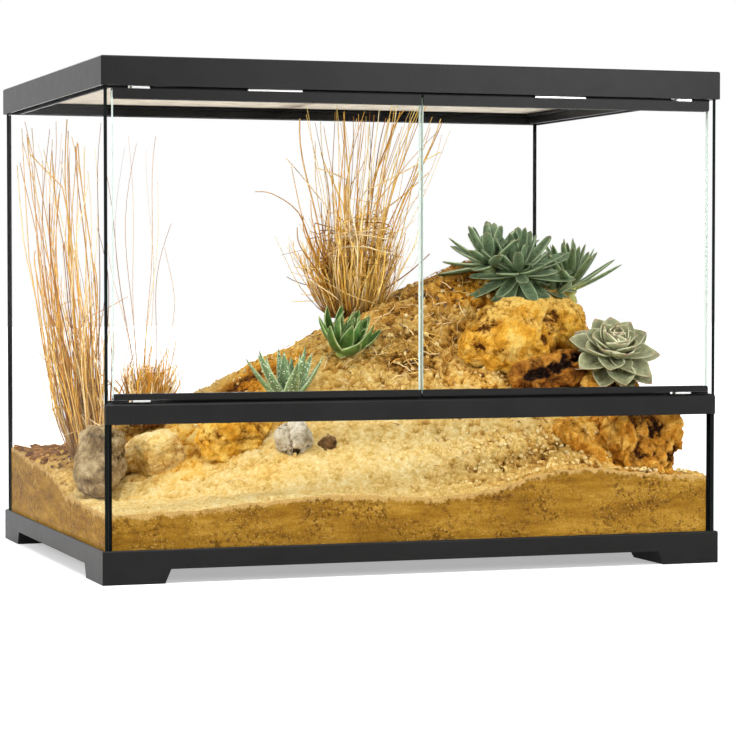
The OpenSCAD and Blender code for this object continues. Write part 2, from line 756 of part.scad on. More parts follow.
module sand_bed() {
    corner = front_bead + 1;
    color([0.86, 0.69, 0.38]) difference() {
        sand_block();
        stone(grey_rock_at, stone_gap);
        stone(white_rock_at, stone_gap);
        stone(dark_stone_at, stone_gap);
        stone(layered_slab_at, stone_gap);
        stone(orange_rock_at, stone_gap);
        stone(ridge_boulder_left_at, stone_gap);
        stone(ridge_boulder_right_at, stone_gap);
        stone(ridge_stone_at, stone_gap);
        stone(front_outcrop_at, stone_gap);
        stone(front_slab_at, stone_gap);
        stone(bark_litter_at, stone_gap);
        planting_pit(green_agave_at);
        planting_pit(spotted_haworthia_at);
        planting_pit(blue_agave_large_at);
        planting_pit(blue_agave_small_at);
        planting_pit(echeveria_at);
        tuft_pit(tall_grass_left_at);
        tuft_pit(short_grass_at);
        tuft_pit(tall_grass_centre_at);
        for (sx = [-1, 1], v = [inner_inset, body_d - inner_inset])
            behind_front() translate([sx * inner_x, v, 0]) rotate([0, 0, 45])
                translate([-corner, -corner, 0]) cube([2 * corner, 2 * corner, far]);
    }
}

module grey_rock() { color([0.55, 0.5, 0.42]) stone(grey_rock_at, 0); }
module white_rock() { color([0.82, 0.8, 0.74]) stone(white_rock_at, 0); }
module dark_stone() { color([0.4, 0.33, 0.25]) stone(dark_stone_at, 0); }
module orange_rock() { color([0.8, 0.55, 0.25]) stone(orange_rock_at, 0); }
module ridge_boulder_left() { color([0.85, 0.6, 0.25]) stone(ridge_boulder_left_at, 0); }
module ridge_boulder_right() { color([0.87, 0.64, 0.3]) stone(ridge_boulder_right_at, 0); }
module ridge_stone() { color([0.6, 0.4, 0.2]) stone(ridge_stone_at, 0); }
module layered_slab() { color([0.85, 0.68, 0.36]) stone(layered_slab_at, 0); }

// The outcrop holds the pot-like hollow that the echeveria is planted in
module front_outcrop() {
    color([0.78, 0.52, 0.2]) difference() {
        stone(front_outcrop_at, 0);
        planting_pit(echeveria_at);
    }
}

module front_slab() { color([0.82, 0.56, 0.24]) stone(front_slab_at, 0); }
module bark_litter() { color([0.45, 0.33, 0.2]) stone(bark_litter_at, 0); }

// One leaf from the origin outward along X: widest a third of the way, pointed at its end
module leaf(length, width, thick) {
    hull() polyhedron(
        points = [[0, 0, 0], [length / 3, width / 2, 0], [length / 3, -width / 2, 0],
            [length / 3, 0, thick], [length / 3, 0, -thick / 2], [length, 0, thick / 2]],
        faces = [[0, 1, 3], [0, 3, 2], [0, 2, 4], [0, 4, 1], [5, 3, 1], [5, 2, 3], [5, 4, 2], [5, 1, 4]]
    );
}

// A rosette on a short crown: leaves rise more the nearer they are to its middle
module rosette(spec) {
    reach = spec[1];
    height = spec[2];
    leaves = spec[3];
    width = spec[4];
    golden = 137.5;
    behind_front() translate(spec[0]) rotate([spec[5], 0, 0]) {
        translate([0, 0, -crown_depth])
            cylinder(h = crown_depth + 1.5 * crown_r(spec), r = crown_r(spec), $fn = 8);
        for (k = [0 : leaves - 1])
            let (f = (k + 0.5) / leaves, rise = 80 - 64 * f, length = min(height * 0.95, reach / cos(rise)))
                rotate([0, 0, golden * k]) translate([1, 0, 1]) rotate([0, -rise, 0])
                    leaf(length * (0.8 + 0.2 * f), width, width / 4);
    }
}

module green_agave() { color([0.3, 0.45, 0.27]) rosette(green_agave_at); }
module spotted_haworthia() { color([0.45, 0.58, 0.42]) rosette(spotted_haworthia_at); }
module blue_agave_large() { color([0.38, 0.5, 0.42]) rosette(blue_agave_large_at); }
module blue_agave_small() { color([0.4, 0.52, 0.4]) rosette(blue_agave_small_at); }
module echeveria() { color([0.5, 0.56, 0.46]) rosette(echeveria_at); }

// A dry tuft: stems from a round foot that spread to a wider ring above
module tuft(spec) {
    foot_at = spec[0];
    foot_r = spec[1];
    top_at = spec[2];
    top_r = spec[3];
    stems = spec[4];
    golden = 137.5;
    stem_w = 3;
    behind_front() {
        translate(foot_at - [0, 0, crown_depth])
            cylinder(h = crown_depth + 6, r = foot_r - 1, $fn = 10);
        for (k = [0 : stems - 1])
            let (f = sqrt((k + 0.5) / stems), az = golden * k, reach = 0.82 + 0.18 * cos(97 * k),
                p = foot_at + [(foot_r - 4) * f * cos(az), (foot_r - 4) * f * sin(az), 0],
                q = top_at + [top_r[0] * f * cos(az), top_r[1] * f * sin(az), 0],
                tip = p + (q - p) * reach)
                hull() polyhedron(
                    points = [p + [stem_w / 2, 0, 0], p + [-stem_w / 2, stem_w / 2, 0],
                        p + [-stem_w / 2, -stem_w / 2, 0], tip],
                    faces = [[0, 1, 2], [0, 3, 1], [1, 3, 2], [2, 3, 0]]
                );
    }
}

module tall_grass_left() { color([0.78, 0.6, 0.3]) tuft(tall_grass_left_at); }
module short_grass() { color([0.7, 0.52, 0.25]) tuft(short_grass_at); }
module tall_grass_centre() { color([0.82, 0.64, 0.34]) tuft(tall_grass_centre_at); }

base_frame();
bottom_pane();
left_pane();
right_pane();
back_pane();
front_lower_pane();
corner_sealant();
floor_sealant();
front_rail();
rail_end_cap_left();
rail_end_cap_right();
lower_hinge_bushes();
upper_hinge_bushes();
top_frame();
door_magnets();
door_glass_left();
door_glass_right();
door_top_strip_left();
door_top_strip_right();
door_bottom_strip_left();
door_bottom_strip_right();
lower_hinge_shoe_left();
lower_hinge_shoe_right();
upper_hinge_shoe_left();
upper_hinge_shoe_right();
hinge_pins_left();
hinge_pins_right();
hinge_screws_left();
hinge_screws_right();
catch_plate_left();
catch_plate_right();
screen_frame();
screen_mesh();
sand_bed();
grey_rock();
layered_slab();
white_rock();
dark_stone();
orange_rock();
ridge_boulder_left();
ridge_boulder_right();
ridge_stone();
front_outcrop();
front_slab();
bark_litter();
green_agave();
spotted_haworthia();
blue_agave_large();
blue_agave_small();
echeveria();
tall_grass_left();
short_grass();
tall_grass_centre();
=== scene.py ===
"""Looks of the glass terrarium: glass, black mouldings, screen and the dry-land landscape."""
import itertools
import math
import random

import bmesh
import bpy
import numpy as np
from mathutils import Euler, Matrix, Vector


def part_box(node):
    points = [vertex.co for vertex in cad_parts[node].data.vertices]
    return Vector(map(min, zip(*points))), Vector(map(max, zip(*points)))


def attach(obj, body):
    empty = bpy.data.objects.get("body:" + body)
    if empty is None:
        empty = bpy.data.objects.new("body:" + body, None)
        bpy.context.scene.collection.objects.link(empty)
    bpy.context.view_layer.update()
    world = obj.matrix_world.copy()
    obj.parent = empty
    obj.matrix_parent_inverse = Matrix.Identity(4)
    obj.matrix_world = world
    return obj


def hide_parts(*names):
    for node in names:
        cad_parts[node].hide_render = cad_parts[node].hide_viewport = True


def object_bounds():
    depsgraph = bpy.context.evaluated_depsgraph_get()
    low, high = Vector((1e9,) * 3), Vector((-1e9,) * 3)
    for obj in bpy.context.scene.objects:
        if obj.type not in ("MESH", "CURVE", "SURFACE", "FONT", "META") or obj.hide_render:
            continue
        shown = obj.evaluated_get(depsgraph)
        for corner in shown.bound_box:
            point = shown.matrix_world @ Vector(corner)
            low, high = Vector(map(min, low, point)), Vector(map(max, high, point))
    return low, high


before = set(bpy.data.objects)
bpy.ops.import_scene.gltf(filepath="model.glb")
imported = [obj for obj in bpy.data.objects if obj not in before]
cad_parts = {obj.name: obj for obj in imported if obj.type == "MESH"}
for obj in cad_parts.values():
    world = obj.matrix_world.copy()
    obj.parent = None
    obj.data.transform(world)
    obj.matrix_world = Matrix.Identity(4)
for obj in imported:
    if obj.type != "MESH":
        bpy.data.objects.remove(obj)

cad_low, cad_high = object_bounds()
MM = 0.001
ROOT = "terrarium"
GOLDEN = math.radians(137.5)
FULL_TURN = 6.28
LEFT, RIGHT, FRONT = cad_low.x, cad_high.x, cad_low.y
SAND_LOW, SAND_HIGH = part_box("sand_bed")


def across(d):
    """X of a place d millimetres in from the right-hand side, or -d from the left where d is negative."""
    return (RIGHT if d > 0 else LEFT) - d * MM


def behind_front(v):
    """Y of a place v millimetres behind the front face."""
    return FRONT + v * MM


def spot(x, v, z):
    """A place given in millimetres: x as across takes it, v behind the front and z up."""
    return across(x), behind_front(v), z * MM


def polar(r, angle, z):
    return Vector((r * math.cos(angle), r * math.sin(angle), z))


def add_object(name, data):
    obj = bpy.data.objects.new(name, data)
    bpy.context.scene.collection.objects.link(obj)
    return obj


# ---- camera

CAMERA_AT = Vector((-0.8329, -2.5311, 0.2768))
CAMERA_TURN = math.radians(18.705)
CAMERA_DOWN = math.radians(1.976)
CAMERA_LENS = 128.55


def make_camera():
    camera = add_object("camera", bpy.data.cameras.new("camera"))
    camera.location = CAMERA_AT
    camera.rotation_euler = (math.pi / 2 - CAMERA_DOWN, 0, -CAMERA_TURN)
    camera.data.sensor_width = 36
    camera.data.lens = CAMERA_LENS
    camera.data.clip_end = 100
    bpy.context.scene.camera = camera


# ---- noise on arrays of places

OCTAVE_TURN = np.array(Euler((0.9, 0.5, 1.3)).to_matrix())


def lattice_random(places, seed):
    """A number from 0 to 1 for each whole-numbered place."""
    i, j, k = (places[:, axis].astype(np.int64).astype(np.uint64) for axis in range(3))
    n = i * np.uint64(73856093) ^ j * np.uint64(19349663) ^ k * np.uint64(83492791)
    n = (n + np.uint64(seed * 2654435761 % 2 ** 32)) & np.uint64(0xFFFFFFFF)
    for shift, factor in ((15, 2246822519), (13, 3266489917)):
        n = (n ^ (n >> np.uint64(shift))) * np.uint64(factor) & np.uint64(0xFFFFFFFF)
    n = n ^ (n >> np.uint64(16))
    return (n & np.uint64(0xFFFF)).astype(float) / 65535


def clouds(places, size, octaves, seed, keep=0.5):
    """Cloudy noise of about -1 to 1 with features of that size, octave by octave half as large."""
    p = places / size
    total, weight, sum_weight = np.zeros(len(p)), 1.0, 0.0
    for octave in range(octaves):
        corner = np.floor(p)
        f = p - corner
        f = f * f * f * (f * (f * 6 - 15) + 10)
        value = np.zeros(len(p))
        for offset in itertools.product((0, 1), repeat=3):
            share = np.prod(np.where(offset, f, 1 - f), axis=1)
            value += share * lattice_random(corner + offset, seed + octave)
        total += weight * (2 * value - 1)
        sum_weight += weight
        weight *= keep
        p = p @ OCTAVE_TURN * 2.03 + 11.3
    return total / sum_weight * 1.7


def lumps(places, size, seed):
    """Rounded lumps about that size: 1 at the middle of each and 0 in the joints between them."""
    p = places / size
    corner = np.floor(p)
    near, far = np.full(len(p), 9.0), np.full(len(p), 9.0)
    for offset in itertools.product((-1, 0, 1), repeat=3):
        cell = corner + offset
        middle = cell + np.stack([lattice_random(cell, seed + axis) for axis in range(3)], axis=1)
        distance = np.linalg.norm(middle - p, axis=1)
        far = np.minimum(far, np.maximum(near, distance))
        near = np.minimum(near, distance)
    return np.clip((far - near) * 2.2, 0, 1) ** 0.7


def smoothstep(value, low, high):
    t = np.clip((value - low) / (high - low), 0, 1)
    return t * t * (3 - 2 * t)


# ---- node trees


def linear(colour):
    """The linear colour, of four numbers, of a display colour of three up to 255. A linear one stays."""
    if len(colour) == 4:
        return colour
    shares = [c / 255 for c in colour]
    return (*(s / 12.92 if s <= 0.04045 else ((s + 0.055) / 1.055) ** 2.4 for s in shares), 1)


class Nodes:
    """Short calls for a node tree. Sizes are in metres, and a colour is one that linear takes."""

    def __init__(self, tree):
        self.tree = tree

    def add(self, kind, inputs=None, **settings):
        node = self.tree.nodes.new("ShaderNode" + kind)
        for key, value in settings.items():
            setattr(node, key, value)
        for key, value in (inputs or {}).items():
            self.put(node.inputs[key], value)
        return node

    def put(self, socket, value):
        if isinstance(value, bpy.types.NodeSocket):
            self.tree.links.new(value, socket)
        else:
            socket.default_value = linear(value) if socket.type == "RGBA" else value

    def remap(self, value, low, high, to_low=0.0, to_high=1.0, **settings):
        inputs = {"Value": value, "From Min": low, "From Max": high, "To Min": to_low, "To Max": to_high}
        return self.add("MapRange", inputs, **settings).outputs[0]

    def math(self, operation, a, b):
        return self.add("Math", {0: a, 1: b}, operation=operation).outputs[0]

    def seen(self, glossy):
        """1 to the camera, also through glass, and glossy in a reflection; 0 once light was scattered."""
        path = self.add("LightPath").outputs
        through = self.math("MAXIMUM", path["Is Camera Ray"], path["Is Transmission Ray"])
        either = self.math("MAXIMUM", through, self.math("MULTIPLY", path["Is Glossy Ray"], glossy))
        return self.math("MULTIPLY", either, self.math("LESS_THAN", path["Diffuse Depth"], 0.5))


class Surface(Nodes):
    """The nodes of a new material: shader is its Principled shader and place the place on the object."""

    def __init__(self, name):
        self.material = bpy.data.materials.new(name)
        self.material.use_nodes = True
        super().__init__(self.material.node_tree)
        self.shader = self.tree.nodes["Principled BSDF"]
        self.place = self.add("TexCoord").outputs["Object"]

    def set(self, **inputs):
        """Sets the shader's sockets, with _ for each space in a name, and returns the material."""
        for key, value in inputs.items():
            self.put(self.shader.inputs[key.replace("_", " ")], value)
        return self.material

    def stretched(self, stretch):
        """The place, with a direction stretched where its factor is under 1."""
        if stretch is None:
            return self.place
        return self.add("Mapping", {"Vector": self.place, "Scale": stretch}).outputs[0]

    def noise(self, size, detail=3, roughness=0.55, stretch=None):
        inputs = {"Vector": self.stretched(stretch), "Scale": 1 / size,
                  "Detail": detail, "Roughness": roughness}
        return self.add("TexNoise", inputs).outputs[0]

    def value(self, name):
        """A number that the mesh carries at each vertex."""
        return self.add("Attribute", attribute_name=name).outputs["Fac"]

    def ramp(self, value, *stops):
        """A colour for each value: stops are (value, colour)."""
        node = self.add("ValToRGB", {"Fac": value})
        elements = node.color_ramp.elements
        while len(elements) < len(stops):
            elements.new(0.5)
        for element, (at, colour) in zip(elements, stops):
            element.position = at
            element.color = linear(colour)
        return node.outputs[0]

    def mix(self, factor, a, b, blend="MIX"):
        return self.add("Mix", {0: factor, 6: a, 7: b}, data_type="RGBA", blend_type=blend).outputs[2]

    def bump(self, height, depth, under=None):
        inputs = {"Height": height, "Distance": depth, "Strength": 1.0}
        if under is not None:
            inputs["Normal"] = under
        return self.add("Bump", inputs).outputs[0]

    def grainy(self, colour, grain, low, high, amount):
        """Darkens a colour grain by grain down to low and leaves it at high."""
        shade = self.ramp(grain, (0.34, (low, low, low, 1)), (0.66, (high, high, high, 1)))
        return self.mix(amount, colour, shade, "MULTIPLY")


# ---- materials

# Far under real glass: the photo's panes have no veil, even where they are seen almost edge-on
GLASS_IOR = 1.015


def moulded_plastic(name, level, roughness, grain):
    n = Surface(name)
    dark, light = (level * 0.8, level * 0.78, level * 0.76, 1), (level * 1.15, level * 1.12, level * 1.1, 1)
    return n.set(
        Base_Color=n.ramp(n.noise(0.05, 3), (0.35, dark), (0.65, light)),
        Roughness=n.remap(n.noise(0.012, 4), 0.3, 0.7, roughness - 0.015, roughness + 0.02),
        Normal=n.bump(n.noise(grain, 2, 0.6), 0.000015),
        Specular_IOR_Level=0.16,
    )


def clear_glass():
    """Clear glass with hardly any reflection, which lets the lamps through."""
    n = Surface("clear_glass")
    tint = (0.998, 0.9995, 0.9985, 1)
    n.set(Base_Color=tint, Roughness=0.0, IOR=GLASS_IOR, Transmission_Weight=1.0)
    through = n.add("BsdfTransparent", {"Color": tint}).outputs[0]
    shadow = n.add("LightPath").outputs["Is Shadow Ray"]
    mix = n.add("MixShader", {0: shadow, 1: n.shader.outputs[0], 2: through})
    n.put(n.tree.nodes["Material Output"].inputs["Surface"], mix.outputs[0])
    return n.material


def cut_edge(name, colour, roughness, gloss):
    """The narrow faces of a pane, where one looks along the glass."""
    n = Surface(name)
    colour = linear(colour)
    darker = tuple(c * 0.85 for c in colour[:3]) + (1,)
    return n.set(
        Base_Color=n.mix(n.noise(0.004, 3, 0.5, (1, 1, 0.1)), darker, colour), Roughness=roughness,
        Specular_IOR_Level=gloss, Normal=n.bump(n.noise(0.0006, 2), 0.00003))


def two_tone(name, pattern, dark, light, fine, depth, **shader):
    """Two tones in a noise pattern, with a fine bump that deep. pattern and fine are what noise takes."""
    n = Surface(name)
    return n.set(Base_Color=n.ramp(n.noise(*pattern), (0.3, dark), (0.7, light)),
                 Normal=n.bump(n.noise(*fine), depth), **shader)


def satin_steel():
    n = Surface("satin_steel")
    brushed = n.noise(0.0012, 3, 0.6, (0.05, 1, 1))
    return n.set(
        Base_Color=n.ramp(brushed, (0.3, (0.52, 0.52, 0.51, 1)), (0.7, (0.74, 0.74, 0.72, 1))),
        Metallic=1.0, Roughness=n.remap(brushed, 0.3, 0.7, 0.24, 0.4), Normal=n.bump(brushed, 0.00002))


def sand_material():
    """Dry sand on top, coloured by the mesh's tone and rust, the tone holding painted shade in dips and pits
    and a painted highlight on crests; damp layers against the glass.
    """
    n = Surface("sand")
    grain = n.noise(0.0010, 3, 0.75)
    crumbs = n.noise(0.0045, 5, 0.7)
    grit = n.noise(0.0024, 4, 0.75)
    # The mesh's tone carries painted shade in the sand's dips and pits and a painted highlight on its crests
    tone = n.math("ADD", n.value("tone"), n.remap(crumbs, 0.3, 0.7, -0.2, 0.24))
    tone = n.math("ADD", tone, n.remap(grit, 0.3, 0.7, -0.12, 0.14))
    dry = n.ramp(tone, (0.0, (250, 230, 170)), (0.25, (238, 204, 126)), (0.5, (212, 170, 88)),
                 (0.75, (168, 120, 50)), (1.0, (92, 58, 18)))
    rusty = n.ramp(tone, (0.0, (254, 220, 130)), (0.3, (244, 188, 74)), (0.55, (214, 142, 36)),
                   (0.8, (146, 86, 16)), (1.0, (74, 40, 8)))
    dry = n.mix(n.value("rust"), dry, rusty)
    streaks = n.noise(0.034, 6, 0.7, (0.45, 0.45, 2.2))
    damp = n.ramp(streaks, (0.32, (126, 84, 18)), (0.5, (160, 116, 32)), (0.68, (194, 148, 56)))
    damp = n.mix(n.remap(n.value("depth"), 0.5, 1.0, 0.0, 0.5), damp, (198, 148, 50))
    patches = n.remap(n.noise(0.045, 3), 0.40, 0.56)
    # Painted shade: dark spots in the wall's pits, where the crumb relief dips
    pit_shade = n.math("MULTIPLY", n.remap(crumbs, 0.5, 0.4), patches)
    damp = n.mix(n.math("MULTIPLY", pit_shade, 0.85), damp, (92, 54, 12))
    lifted = n.math("MULTIPLY", n.remap(grit, 0.55, 0.68), patches)
    damp = n.mix(n.math("MULTIPLY", lifted, 0.6), damp, (236, 196, 112))
    ragged = n.math("ADD", n.value("depth"), n.remap(n.noise(0.009, 5, 0.7), 0.3, 0.7, 0.05, -0.05))
    damp = n.mix(n.remap(ragged, 0.03, 0.07), (206, 166, 98), damp)
    damp = n.grainy(damp, grain, 0.6, 1.12, 0.8)
    dry = n.grainy(dry, grain, 0.55, 1.05, 0.7)
    under = n.bump(grit, 0.0012, n.bump(crumbs, 0.0022))
    return n.set(Base_Color=n.mix(n.value("wall"), dry, damp), Roughness=0.95, Specular_IOR_Level=0.12,
                 Normal=n.bump(grain, 0.0007, under))


def stone_material(name, light, middle, dark, hollow):
    """Rough stone: three tones in patches, darkened with painted shade where the mesh marks crevices,
    hollows and bedding grooves, and pale with dust on top.
    """
    n = Surface(name)
    fine = n.noise(0.0012, 3, 0.75)
    crumbs = n.noise(0.0042, 5, 0.7)
    colour = n.ramp(n.noise(0.016, 6, 0.65), (0.34, dark), (0.48, middle), (0.66, light))
    dust = n.math("ADD", n.value("dust"), n.remap(crumbs, 0.3, 0.7, -0.35, 0.35))
    colour = n.mix(n.remap(dust, 0.45, 1.0, 0.0, 0.9), colour, light)
    # Painted shade: the mesh's marked hollows, deepened where the crumb relief dips
    shade = n.math("ADD", n.value("hollow"), n.remap(crumbs, 0.3, 0.7, 0.28, -0.3))
    colour = n.mix(n.remap(shade, 0.2, 0.85), colour, n.ramp(shade, (0.4, dark), (0.95, hollow)))
    return n.set(Base_Color=n.grainy(colour, fine, 0.5, 1.08, 0.75), Roughness=0.92, Specular_IOR_Level=0.15,
                 Normal=n.bump(fine, 0.0006, n.bump(crumbs, 0.0022)))


def leaf_material(name, base, middle, margin, tip, bloom=0.3, spotted=False, shadow=0.55):
    """A waxy leaf: darker in its middle, a pale margin and, if spotted, rows of pale bumps."""
    n = Surface(name)
    edge = n.value("margin")
    colour = n.ramp(n.value("along"), (0.0, base), (0.3, middle), (0.9, middle), (1.0, tip))
    deep = n.ramp(edge, (0.0, (shadow, shadow, shadow, 1)), (0.7, (1, 1, 1, 1)))
    colour = n.mix(1.0, colour, deep, "MULTIPLY")
    colour = n.mix(n.remap(n.noise(0.0045, 4, 0.6), 0.35, 0.7, 0.0, bloom), colour, margin)
    colour = n.mix(n.remap(edge, 0.74, 0.95, 0.0, 0.9), colour, margin)
    normal = n.bump(n.noise(0.0016, 3), 0.00015)
    if spotted:
        cells = n.add("TexVoronoi", {"Vector": n.stretched((1, 1, 1.4)), "Scale": 1 / 0.0030})
        dots = n.math("SUBTRACT", 1.0, n.remap(cells.outputs["Distance"], 0.2, 0.32))
        colour = n.mix(dots, colour, (232, 238, 218))
        normal = n.bump(dots, 0.0004, normal)
    return n.set(Base_Color=colour, Roughness=0.5, Specular_IOR_Level=0.35, Normal=normal)


def straw_material(name, foot, middle, top):
    """Dry stems: brown at the foot and pale towards the end, each stem with its own tint."""
    n = Surface(name)
    colour = n.ramp(n.value("tint"), (0.0, foot), (0.15, middle), (0.5, top), (0.75, (255, 236, 186)),
                    (0.9, middle), (1.0, foot))
    colour = n.mix(n.remap(n.value("along"), 0.05, 0.45, 0.85, 0.0), colour, foot)
    streaks = n.noise(0.003, 3, 0.6, (1, 1, 0.15))
    colour = n.mix(n.remap(streaks, 0.45, 0.75, 0.0, 0.5), colour, foot)
    return n.set(Base_Color=colour, Roughness=0.65, Specular_IOR_Level=0.3, Normal=n.bump(streaks, 0.0001))


# ---- meshes

BOX_FACES = [(0, 2, 3, 1), (4, 5, 7, 6), (0, 1, 5, 4), (2, 6, 7, 3), (0, 4, 6, 2), (1, 3, 7, 5)]


def carry(mesh, key, column):
    """Gives a mesh a value at each vertex, for its material to read."""
    mesh.attributes.new(key, "FLOAT", "POINT").data.foreach_set("value", column)


class Builder:
    """Collects vertices, faces and per-vertex values for one mesh."""

    def __init__(self):
        self.points, self.faces, self.values = [], [], {}

    def add(self, points, faces, **values):
        start = len(self.points)
        self.points.extend(tuple(p) for p in points)
        self.faces.extend([tuple(i + start for i in face) for face in faces])
        for key, column in values.items():
            column = column if hasattr(column, "__len__") else [column] * len(points)
            self.values.setdefault(key, []).extend(column)

    def add_box(self, xs, ys, zs):
        self.add([(x, y, z) for z in zs for y in ys for x in xs], BOX_FACES)

    def make(self, name, material, smooth=True):
        mesh = bpy.data.meshes.new(name)
        mesh.from_pydata(self.points, [], self.faces)
        for key, column in self.values.items():
            carry(mesh, key, column)
        mesh.polygons.foreach_set("use_smooth", [smooth] * len(mesh.polygons))
        mesh.materials.append(material)
        return add_object(name, mesh)


def squares(index):
    """The four corners, in order, of each square of a grid of vertex numbers."""
    return np.stack([index[:-1, :-1], index[:-1, 1:], index[1:, 1:], index[1:, :-1]], axis=2).reshape(-1, 4)


def tube_faces(rings, m, downward=False):
    """The faces of a tube of rings of m vertices, closed at both ends, facing out. Downward is for a
    tube whose rings go down while their vertices still go round as the others do."""
    index = np.arange(rings * m).reshape(rings, m)
    sides = squares(np.column_stack([index, index[:, 0]]))
    if downward:
        return sides[:, (1, 0, 3, 2)].tolist() + [index[0].tolist(), index[-1, ::-1].tolist()]
    return sides.tolist() + [index[0, ::-1].tolist(), index[-1].tolist()]


def place_piece(obj, body, slot, *replaced):
    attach(obj, body)
    if replaced:
        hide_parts(*replaced)


def modify(obj, kind, **settings):
    modifier = obj.modifiers.new(kind.lower(), kind)
    for key, value in settings.items():
        setattr(modifier, key, value)


def paint(material, *nodes):
    """Gives CAD nodes a better material in their own slots."""
    for name in nodes:
        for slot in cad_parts[name].material_slots:
            slot.link = "OBJECT"
            slot.material = material


WELD_DISTANCE = 0.01 * MM
BEVEL_ANGLE = math.radians(35)


def soften(width, *nodes):
    """Rounds the sharp edges of CAD nodes so that they catch the light."""
    for name in nodes:
        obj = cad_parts[name]
        modify(obj, "WELD", merge_threshold=WELD_DISTANCE)
        modify(obj, "BEVEL", width=width, segments=2, limit_method="ANGLE", angle_limit=BEVEL_ANGLE,
               use_clamp_overlap=True, harden_normals=True)


# ---- glass and screen

ARRIS = 0.5 * MM
WIRE = 0.5 * MM
WIRE_PITCH = 3.2 * MM
# Dark strips that fill the slots beside the doors' ends and stand in for the shade there: depth behind the
# front, heights and distances from the middle, in millimetres
SLOT_SHADE_V = (9.8, 12.3)
SLOT_SHADE_Z = ((164.3, 165.8), (446.5, 449.0))
SLOT_SHADE_X = ((238, 258), (278, 298.4))


def make_pane(node, body, slot, faces, edge):
    """A pane with ground arrises in place of a CAD pane, edge being the material of its narrow faces."""
    low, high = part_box(node)
    size = high - low
    thin = min(range(3), key=lambda axis: size[axis])
    bm = bmesh.new()
    bmesh.ops.create_cube(bm, size=1)
    for vertex in bm.verts:
        vertex.co = low + Vector([(vertex.co[k] + 0.5) * size[k] for k in range(3)])
    bmesh.ops.bevel(bm, geom=bm.edges[:], offset=ARRIS, segments=1, affect="EDGES")
    for face in bm.faces:
        face.material_index = 0 if abs(face.normal[thin]) > 0.9 else 1
    mesh = bpy.data.meshes.new(node + "_pane")
    bm.to_mesh(mesh)
    bm.free()
    mesh.materials.append(faces)
    mesh.materials.append(edge)
    place_piece(add_object(node + "_pane", mesh), body, slot, node)


def make_screen(material):
    """Wire cloth: one layer of wires along X with another along Y on it."""
    low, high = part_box("screen_mesh")
    cloth = Builder()
    for y in np.arange(low.y + WIRE, high.y - WIRE, WIRE_PITCH):
        cloth.add_box((low.x, high.x), (y, y + WIRE), (low.z, low.z + WIRE))
    for x in np.arange(low.x + WIRE, high.x - WIRE, WIRE_PITCH):
        cloth.add_box((x, x + WIRE), (low.y, high.y), (low.z + WIRE, low.z + 2 * WIRE))
    place_piece(
        cloth.make("wire_cloth", material, smooth=False), "screen_cover", "screen_wire", "screen_mesh")


def make_slot_shade(material):
    """Dark strips on the rail and under the top frame, either side of each pivot shoe, that stand in for the
    shade in the slots there.
    """
    shade_strips = Builder()
    for side, (near, far), (low, high) in itertools.product((-1, 1), SLOT_SHADE_X, SLOT_SHADE_Z):
        xs = sorted((side * near * MM, side * far * MM))
        shade_strips.add_box(xs, [behind_front(v) for v in SLOT_SHADE_V], (low * MM, high * MM))
    place_piece(shade_strips.make("slot_shade_strips", material, smooth=False), ROOT, "frame_plastic")


# ---- sand

SAND_STEP = 1.35 * MM
WALL_ROWS = 40
SMOOTH_RIM = 10 * MM
DAMP_DEPTH = 75 * MM
HEAP_X, HEAP_V = across(148), 270
HEAP_LEFT, HEAP_RIGHT, HEAP_DEEP = 480, 175, 263
SAND_FRONT, SAND_RISE, HEAP_H = 62, 14, 234
# x, v, height, spreads along X and V. x in all these tables is as across takes it.
SWELLS = [(400, 40, 14, 75, 80), (140, 20, 33, 72, 70), (15, 20, 16, 45, 60), (-20, 420, 22, 60, 80),
          (66, 212, 72, 38, 50)]
# Areas of the sand's top: x, v, spreads along X and V, amount
RUST = [(400, 262, 70, 60, 0.8), (440, 160, 60, 45, 0.8), (130, 140, 60, 50, 0.9), (150, 240, 50, 40, 0.55),
        (-60, 380, 70, 70, 0.7), (60, 60, 60, 60, 0.8), (520, 220, 50, 50, 0.6)]
ROOTS = [(240, 235, 60, 60, 0.8), (300, 190, 45, 40, 0.4), (160, 290, 60, 40, 0.9), (255, 165, 40, 22, 0.6)]
GRAVEL = [(205, 60, 55, 45, 0.9), (235, 130, 60, 40, 0.5), (-50, 330, 90, 110, 0.8), (60, 30, 60, 30, 0.8),
          (110, 120, 50, 30, 0.6)]
BROWN = [(235, 225, 60, 55, 0.12), (160, 290, 60, 40, 0.26), (257, 168, 26, 14, 0.4),
         (-40, 380, 60, 70, 0.3), (408, 238, 26, 16, 0.7), (176, 22, 62, 16, 0.36), (30, 40, 40, 50, 0.3),
         (560, 230, 30, 50, 0.3)]


def swell(x, v, at_x, at_v, spread_x, spread_v):
    return np.exp(-((x - across(at_x)) / (spread_x * MM)) ** 2 / 2 - ((v - at_v) / spread_v) ** 2 / 2)


def sand_height(x, v):
    """Height of the sand in millimetres, as in the construction model."""
    reach = np.where(x < HEAP_X, HEAP_LEFT, HEAP_RIGHT)
    r = np.sqrt(((x - HEAP_X) / MM / reach) ** 2 + ((v - HEAP_V) / HEAP_DEEP) ** 2 + 0.003)
    z = SAND_FRONT + SAND_RISE * v / 450 + HEAP_H * np.maximum(0, 1 - r)
    return z + sum(h * swell(x, v, cx, cv, sx, sv) for cx, cv, h, sx, sv in SWELLS)


def marked(x, v, areas):
    """How strongly each place lies in one of the areas, from 0 to 1."""
    return np.minimum(1.0, sum(amount * swell(x, v, *area) for *area, amount in areas))


